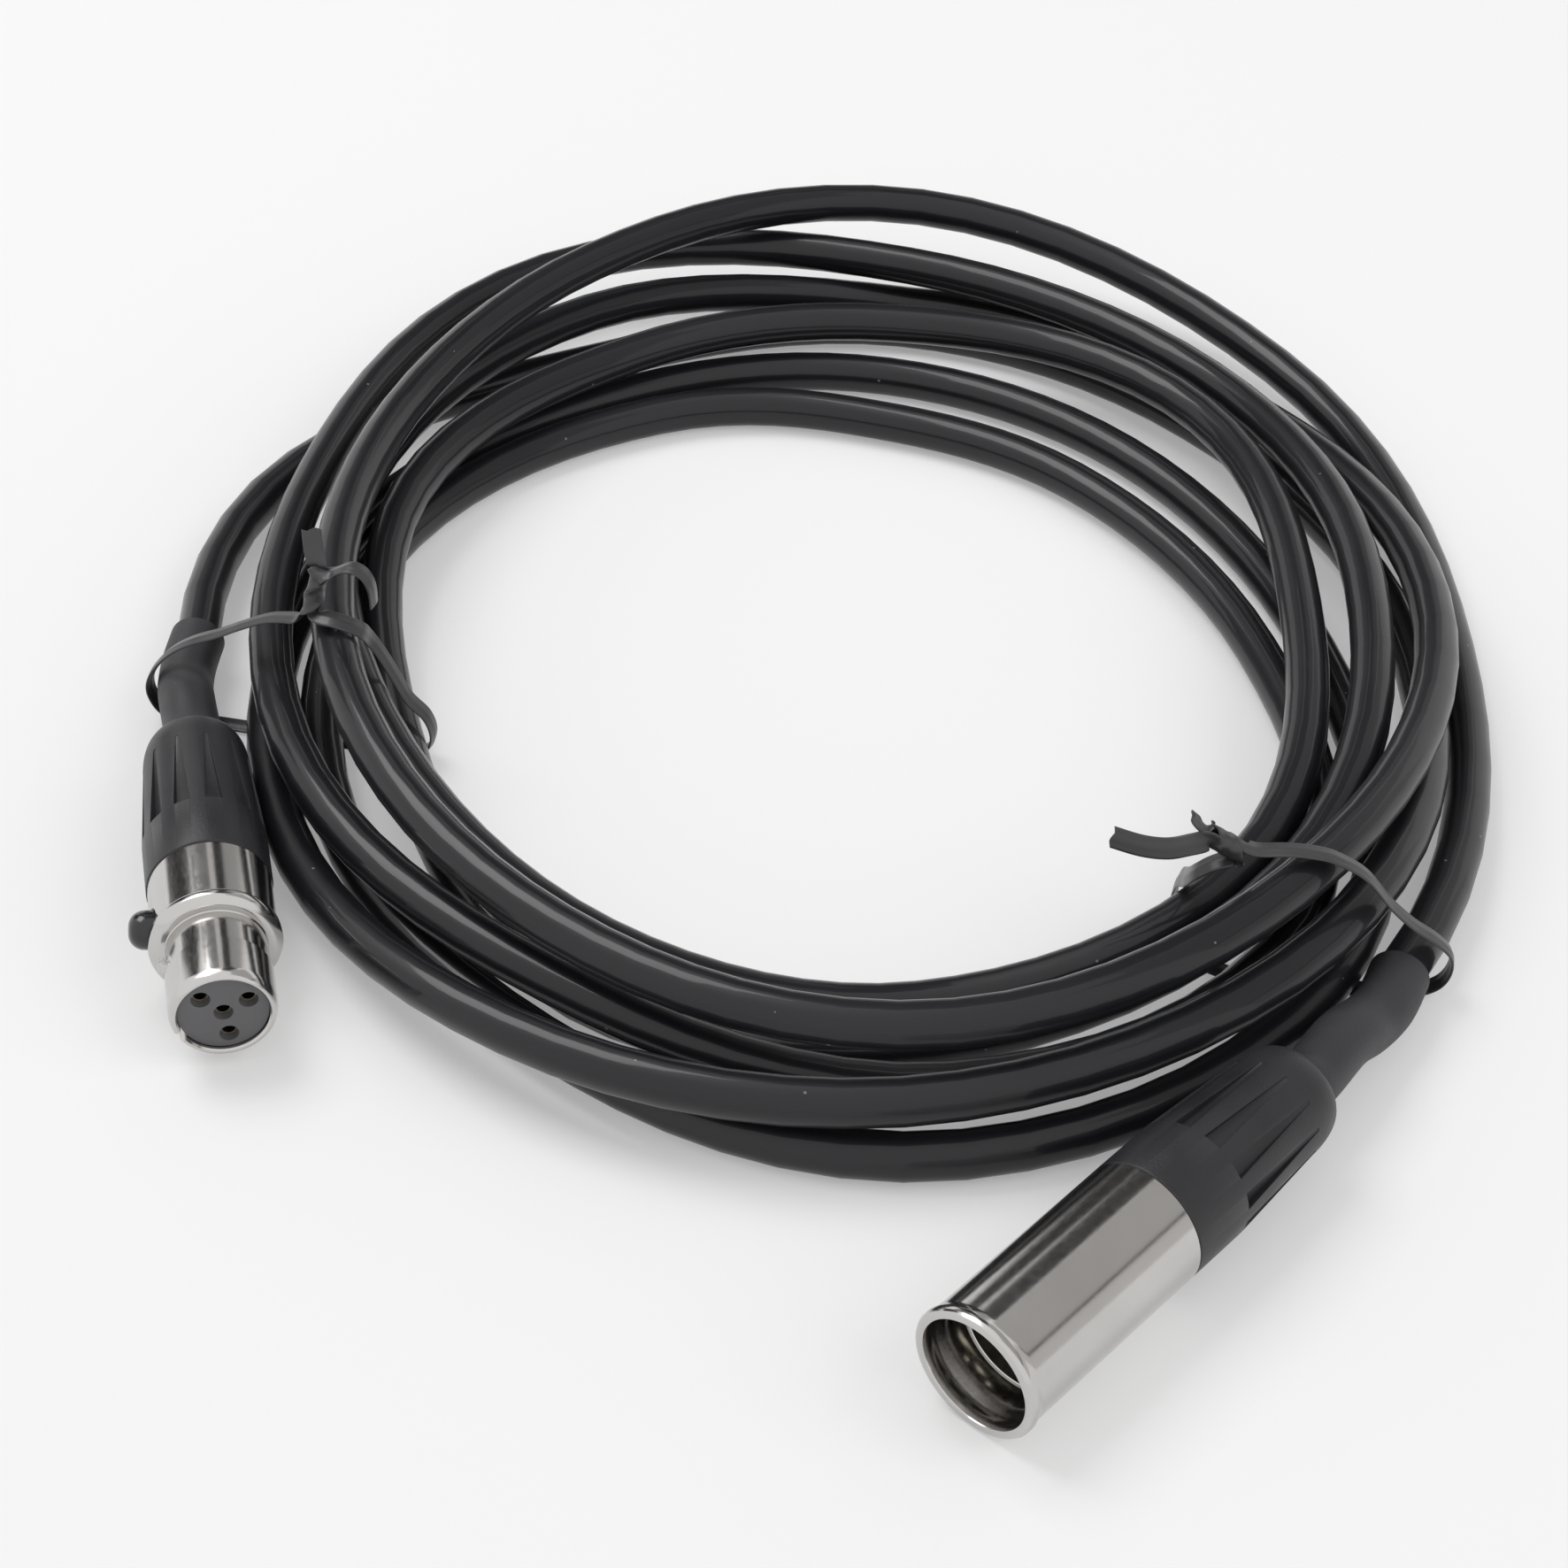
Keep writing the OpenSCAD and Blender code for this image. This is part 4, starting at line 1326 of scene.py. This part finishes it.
@dataclass
class TwistTie:
    """A flat coated tie with a wire core: a band round the bundle, its two ends wound together.

    Places are (outward, up, along the cable) in millimetres from the point on the coil's oval.
    """

    shop: Workshop
    node: str
    at: Vector
    way: Vector
    tail: tuple[tuple[float, float, float], ...]
    neck: tuple[tuple[float, float, float], tuple[float, float, float]]
    band: tuple[tuple[float, float, float], ...]
    stub: tuple[tuple[float, float, float], ...]
    turn: float = 270.0
    neck_r: float = 0.45
    lean: float = 0.0
    settle: float = 0.35
    half_w: float = 0.85
    coat: float = 0.12
    core: float = 0.2
    core_spread: float = 2.6
    ragged: float = 0.1
    winds: int = 6
    half_steps: int = 16
    steps: int = 6

    def along(self) -> Vector:
        """Returns the cable's direction under the tie."""
        return Vector((-self.way.y, self.way.x, 0))

    def spots(self, places: tuple[tuple[float, float, float], ...]) -> list[Vector]:
        """Returns places in the row frame."""
        along = self.along()
        return [self.at + self.way * out + along * across + Vector((0, 0, up)) for out, up, across in places]

    def arm(self, start: float) -> list[tuple[Vector, Vector]]:
        """Winds one end up the twist.

        Args:
            start: Angle in degrees at which it joins the twist.

        Returns:
            Its centres and the directions of its width, from the bundle upward.
        """
        low, high = self.spots(self.neck)
        axis = (high - low).normalized()
        first = (self.way - axis * self.way.dot(axis)).normalized()
        second = axis.cross(first)
        rows = []
        for k in range(self.winds + 1):
            angle = math.radians(start + self.turn * k / self.winds)
            out = first * math.cos(angle) + second * math.sin(angle)
            rows.append((low.lerp(high, k / self.winds) + out * self.neck_r, axis.cross(out)))
        return rows

    def stations(self) -> list[tuple[Vector, Vector]]:
        """Lists the whole ribbon.

        Returns:
            Its centres and the directions of its width, from the tail's tip to the stub's.
        """
        along = self.along()
        near, far = self.arm(0.0), self.arm(180.0)
        rows = [(spot, near[-1][1] + along * self.lean) for spot in self.spots(self.tail)] + near[::-1]
        band = [near[0][0]] + self.spots(self.band) + [far[0][0]]
        width = near[0][1]
        for spot, way in list(zip(band, ways_along(band)))[1:-1]:
            width += along * self.settle
            width = (width - way * width.dot(way)).normalized()
            rows.append((spot, width))
        rows += far + [(spot, along) for spot in self.spots(self.stub)]
        for i in range(1, len(rows)):
            if rows[i][1].dot(rows[i - 1][1]) < 0:
                rows[i] = (rows[i][0], -rows[i][1])
        return rows

    def section(self) -> list[tuple[float, float]]:
        """Lists the ribbon's section: a round-edged coat, thicker over the wire.

        Returns:
            Its points as (across, up).
        """
        half = []
        for k in range(self.half_steps + 1):
            across = math.cos(math.pi * k / self.half_steps)
            coat = self.coat * math.sqrt(1 - across ** 8)
            bulge = (self.core - self.coat) * math.exp(-(across * self.core_spread) ** 2)
            half.append((self.half_w * across, coat + bulge))
        return half + [(across, -up) for across, up in half[-2:0:-1]]

    def build(self) -> None:
        """Sweeps the section along the stations, with both ends cut a little ragged."""
        rows = self.stations()
        centres = catmull([centre for centre, _ in rows], self.steps)
        widths = catmull([width for _, width in rows], self.steps)
        section = self.section()
        last = len(centres) - 1
        bm = bmesh.new()
        rings = []
        for i, (centre, along) in enumerate(zip(centres, ways_along(centres))):
            width = (widths[i] - along * widths[i].dot(along)).normalized()
            face = along.cross(width)
            ring = []
            for across, up in section:
                ragged = self.ragged * math.sin(5 * across + i) if i in (0, last) else 0.0
                ring.append(bm.verts.new((centre + width * across + face * up + along * ragged) * MM))
            rings.append(ring)
        join_rings(bm, rings, closed=False)
        bm.faces.new(rings[0])
        bm.faces.new(rings[-1][::-1])
        ribbon = closed_piece(f"{self.node}_ribbon", bm, SOFT_ANGLE)
        self.shop.place(ribbon, Slot.TIE, Body.CABLE, self.node)


def left_tie(shop: Workshop) -> TwistTie:
    """Describes the tie round the bundle beside the female plug.

    Args:
        shop: The workshop.

    Returns:
        The tie, ready to build.
    """
    coil = shop.layout.coil
    return TwistTie(
        shop, "left_tie", at=coil.on_oval(coil.tie_angles[0]) + Vector((3.2, 1.3, 0)),
        way=Vector((-0.97, 0.24, 0)).normalized(),
        tail=((-4.2, 21.1, -1.7), (-4.6, 19.9, -0.8), (-5.1, 18.9, -0.1)),
        neck=((-4.6, 14.9, 1.2), (-5.4, 18.2, 0.3)),
        band=((-3.3, 13.7, 0.8), (-1.8, 13.1, 0.3), (0.0, 12.5, 0.0), (2.3, 11.4, 0.0), (4.7, 10.1, 0.0),
              (7.4, 8.8, 0.0), (9.6, 7.2, 0.0), (11.3, 5.1, 0.0), (11.9, 3.2, 0.0), (11.3, 1.4, 0.0),
              (10.0, 0.45, 0.0), (8.2, 0.27, 0.0), (3.0, 0.27, 0.0), (-4.0, 0.27, 0.0), (-10.8, 0.3, 0.0),
              (-12.6, 0.55, 0.0), (-13.7, 1.5, 0.0), (-14.1, 3.0, 0.0), (-13.6, 4.7, 0.0), (-12.2, 6.2, 0.0),
              (-11.3, 8.0, 0.0), (-10.2, 10.3, 0.0), (-9.3, 12.2, 0.3), (-8.9, 13.8, 1.3), (-7.3, 14.95, 2.1),
              (-5.9, 15.05, 2.0)),
        stub=((-6.5, 18.4, 0.2), (-8.0, 19.1, 0.1), (-9.2, 18.7, 0.1), (-9.8, 17.4, 0.1), (-9.9, 15.8, 0.2)),
        neck_r=0.55)


def right_tie(shop: Workshop) -> TwistTie:
    """Describes the tie round the bundle beside the male plug.

    Args:
        shop: The workshop.

    Returns:
        The tie, ready to build.
    """
    coil = shop.layout.coil
    return TwistTie(
        shop, "right_tie", at=coil.on_oval(coil.tie_angles[1]) + Vector((-1.5, 1.3, 0)),
        way=Vector((1, -0.06, 0)).normalized(),
        tail=((-15.9, 14.9, -0.2), (-13.6, 14.3, -0.4), (-11.6, 14.3, -0.6), (-9.8, 14.9, -0.7)),
        neck=((-6.0, 13.7, 0.0), (-8.5, 15.3, 0.0)),
        band=((-4.6, 14.0, 0.0), (-2.6, 14.1, 0.0), (-0.8, 14.0, 0.0), (1.2, 13.5, 0.0), (3.7, 11.9, 0.0),
              (5.9, 9.1, 0.0), (7.9, 7.1, 0.0), (9.9, 5.6, 0.0), (11.1, 4.2, 0.0), (11.2, 2.6, 0.0),
              (10.5, 1.2, 0.0), (9.0, 0.4, 0.0), (7.0, 0.27, 0.0), (2.0, 0.27, 0.0), (-4.0, 0.27, 0.6),
              (-8.0, 0.3, 2.4), (-9.6, 0.6, 4.5), (-10.1, 1.8, 5.8), (-10.1, 3.5, 6.2), (-10.0, 5.2, 5.9),
              (-9.9, 6.9, 4.8), (-9.8, 8.4, 3.1), (-9.7, 9.8, 1.5), (-9.3, 11.1, 0.5), (-8.4, 12.2, 0.1),
              (-7.4, 12.8, 0.0)),
        stub=((-9.2, 15.9, 0.4), (-9.9, 16.6, 0.4)), neck_r=0.7, lean=0.55)


# ---------------------------------------------------------------- studio


def seen_rays(tree: bpy.types.NodeTree) -> bpy.types.NodeSocket:
    """Picks the rays that show the surround: the camera's, glossy and transmitted ones.

    Args:
        tree: Node tree of the floor or the world.

    Returns:
        A socket that is 1 for them and 0 for the others.
    """
    rays = tree.nodes.new("ShaderNodeLightPath")
    seen = math_node(tree, "MAXIMUM", rays.outputs["Is Camera Ray"], rays.outputs["Is Transmission Ray"])
    return math_node(tree, "MAXIMUM", seen, rays.outputs["Is Glossy Ray"])


@dataclass
class Studio:
    """Camera, floor and plain soft light.

    The camera's place and lens are in millimetres, its pitch in degrees and other lengths in metres.
    A lamp has a place, a size and a power in watts. A flag is a glowing card that only polished surfaces
    see, a painted reflection band; it has a name, two corners as azimuth from +Y and elevation in degrees,
    and the grey it glows with.
    """

    camera_at: tuple[float, float, float] = (-4.3, -221.0, 164.3)
    pitch: float = 38.8
    lens: float = 70.5
    floor_size: float = 3.0
    floor_drop: float = 0.00003
    floor_grey: float = 0.9
    floor_glow: float = 0.3
    soft_light: float = 0.55
    seen_light: float = 0.45
    flag_r: float = 1.5
    flag_steps: int = 8

    KEY = ((-0.35, 0.25, 0.7), (0.45, 0.45), 2.6)
    FILL = ((0.6, -0.3, 0.55), (0.6, 0.6), 2.0)
    STRIP = ((-0.08, 0.88, 0.66), (0.36, 0.09), 1.5)
    # Flags: glowing cards seen only in reflections, which paint bright and dark bands into polished metal.
    FLAGS = (
        ("flag_left", (-56, 7), (-37, 34), 0.03),
        ("flag_back", (-37, 22), (-12, 50), 0.2),
        ("flag_pale", (-12, 36), (-3, 50), 0.7),
        ("flag_low", (-14, 8), (-3, 36), 0.04),
        ("flag_dark", (-3, 8), (9, 41), 0.04),
        ("flag_grey", (9, 12), (24, 41), 0.4),
        ("flag_bright", (24, 8), (29, 20), 0.95),
        ("flag_high", (-3, 41), (27, 66), 0.05),
        ("flag_side", (29, 27), (112, 68), 0.5),
        ("flag_line", (72, 23), (112, 27), 0.08),
        ("flag_warm", (60, 3), (112, 23), 0.66),
    )
    STRIP_LIT = (Slot.JACKET, Slot.SLEEVE, Slot.BOOT, Slot.BUTTON, Slot.TIE)

    def camera(self) -> None:
        """Places the camera and makes it the scene's."""
        data = bpy.data.cameras.new("camera")
        data.lens = self.lens
        data.sensor_width = 36.0
        data.clip_start = 0.01
        data.clip_end = 20
        camera = linked("camera", data)
        camera.location = Vector(self.camera_at) * MM
        camera.rotation_euler = (math.radians(90 - self.pitch), 0, 0)
        bpy.context.scene.camera = camera

    def floor(self) -> None:
        """Makes the pale floor, which glows a little for the rays that show the surround."""
        bm = bmesh.new()
        bmesh.ops.create_grid(bm, x_segments=1, y_segments=1, size=self.floor_size)
        bmesh.ops.translate(bm, verts=bm.verts, vec=(0, 0, -self.floor_drop))
        floor = mesh_piece("floor", bm)
        material = bpy.data.materials.new("floor")
        material.use_nodes = True
        tree = material.node_tree
        shader = tree.nodes["Principled BSDF"]
        feed(tree, shader, {"Base Color": grey(self.floor_grey), "Roughness": 0.8})
        glow = tree.nodes.new("ShaderNodeEmission")
        mix = add_node(tree, "ShaderNodeMixShader", {
            0: math_node(tree, "MULTIPLY", seen_rays(tree), self.floor_glow),
            1: shader.outputs["BSDF"], 2: glow.outputs["Emission"],
        })
        feed(tree, tree.nodes["Material Output"], {"Surface": mix.outputs["Shader"]})
        floor.data.materials.append(material)

    def flag(self, name: str, low: tuple[float, float], high: tuple[float, float], shade: float) -> None:
        """Hangs a glowing card far behind or beside the object, which only polished surfaces mirror as a
        painted reflection band.

        Args:
            name: Name of the flag.
            low: Azimuth from +Y and elevation of one corner in degrees, seen from the object.
            high: The same for the opposite corner.
            shade: The grey it glows with, which shows as a bright or dark painted reflection.
        """
        bm = bmesh.new()
        columns = []
        for k in range(self.flag_steps + 1):
            side = math.radians(low[0] + (high[0] - low[0]) * k / self.flag_steps)
            columns.append([bm.verts.new((self.flag_r * math.sin(side) * math.cos(rise),
                                          self.flag_r * math.cos(side) * math.cos(rise),
                                          self.flag_r * math.sin(rise)))
                            for rise in (math.radians(low[1]), math.radians(high[1]))])
        for left, right in zip(columns, columns[1:]):
            bm.faces.new((left[0], right[0], right[1], left[1]))
        flag = mesh_piece(name, bm)
        material = bpy.data.materials.new(name)
        material.use_nodes = True
        tree = material.node_tree
        # The card glows with its grey and only glossy rays see it: a painted reflection, bright or dark, in
        # polished metal.
        glow = add_node(tree, "ShaderNodeEmission", {"Color": (shade, shade * 0.985, shade * 0.97, 1)})
        feed(tree, tree.nodes["Material Output"], {"Surface": glow.outputs["Emission"]})
        flag.data.materials.append(material)
        flag.visible_camera = flag.visible_diffuse = False
        flag.visible_shadow = flag.visible_transmission = False

    def world(self) -> None:
        """Makes a white surround for the rays that show it, and softer light for the others."""
        world = bpy.data.worlds.new("studio")
        world.use_nodes = True
        bpy.context.scene.world = world
        tree = world.node_tree
        seen = math_node(tree, "MULTIPLY", seen_rays(tree), self.seen_light)
        feed(tree, tree.nodes["Background"], {
            "Color": grey(1.0), "Strength": math_node(tree, "ADD", seen, self.soft_light),
        })

    def lamp(self, name: str, at: tuple[float, float, float], size: tuple[float, float],
             power: float) -> bpy.types.Object:
        """Adds a soft lamp that faces the object.

        Args:
            name: Name of the lamp.
            at: Its place in metres.
            size: Its width and height in metres.
            power: Its power in watts.

        Returns:
            The lamp.
        """
        data = bpy.data.lights.new(name, "AREA")
        data.shape = "RECTANGLE"
        data.size, data.size_y = size
        data.energy = power
        lamp = linked(name, data)
        lamp.location = at
        lamp.rotation_euler = (-Vector(at)).to_track_quat("-Z", "Y").to_euler()
        return lamp

    def strip(self) -> None:
        """Adds the narrow lamp that draws a thin line along the black parts, and lights only those."""
        lamp = self.lamp("strip", *self.STRIP)
        lit = bpy.data.collections.new("strip_receivers")
        black = {slot.value for slot in self.STRIP_LIT}
        for piece in bpy.context.scene.objects:
            if any(place.material and place.material.name in black for place in piece.material_slots):
                lit.objects.link(piece)
        lamp.light_linking.receiver_collection = lit

    def build(self) -> None:
        """Sets up the whole studio."""
        self.floor()
        self.world()
        self.lamp("key", *self.KEY)
        fill = self.lamp("fill", *self.FILL)
        fill.visible_glossy = False
        self.strip()
        for name, low, high, shade in self.FLAGS:
            self.flag(name, low, high, shade)
        bpy.context.scene.view_settings.view_transform = "Standard"


def main() -> None:
    """Builds every sub-assembly in order."""
    logging.basicConfig(level=logging.INFO, format="%(name)s: %(message)s")
    studio = Studio()
    studio.camera()
    shop = Workshop(Layout(), Finishes(), Trees())
    cable = Cable(shop)
    cable.build()
    MalePlug(shop).build()
    female = FemalePlug(shop)
    female.build()
    for tie in (left_tie(shop), right_tie(shop)):
        tie.build()
    studio.build()
    bpy.context.view_layer.update()


if __name__ == "__main__":
    main()
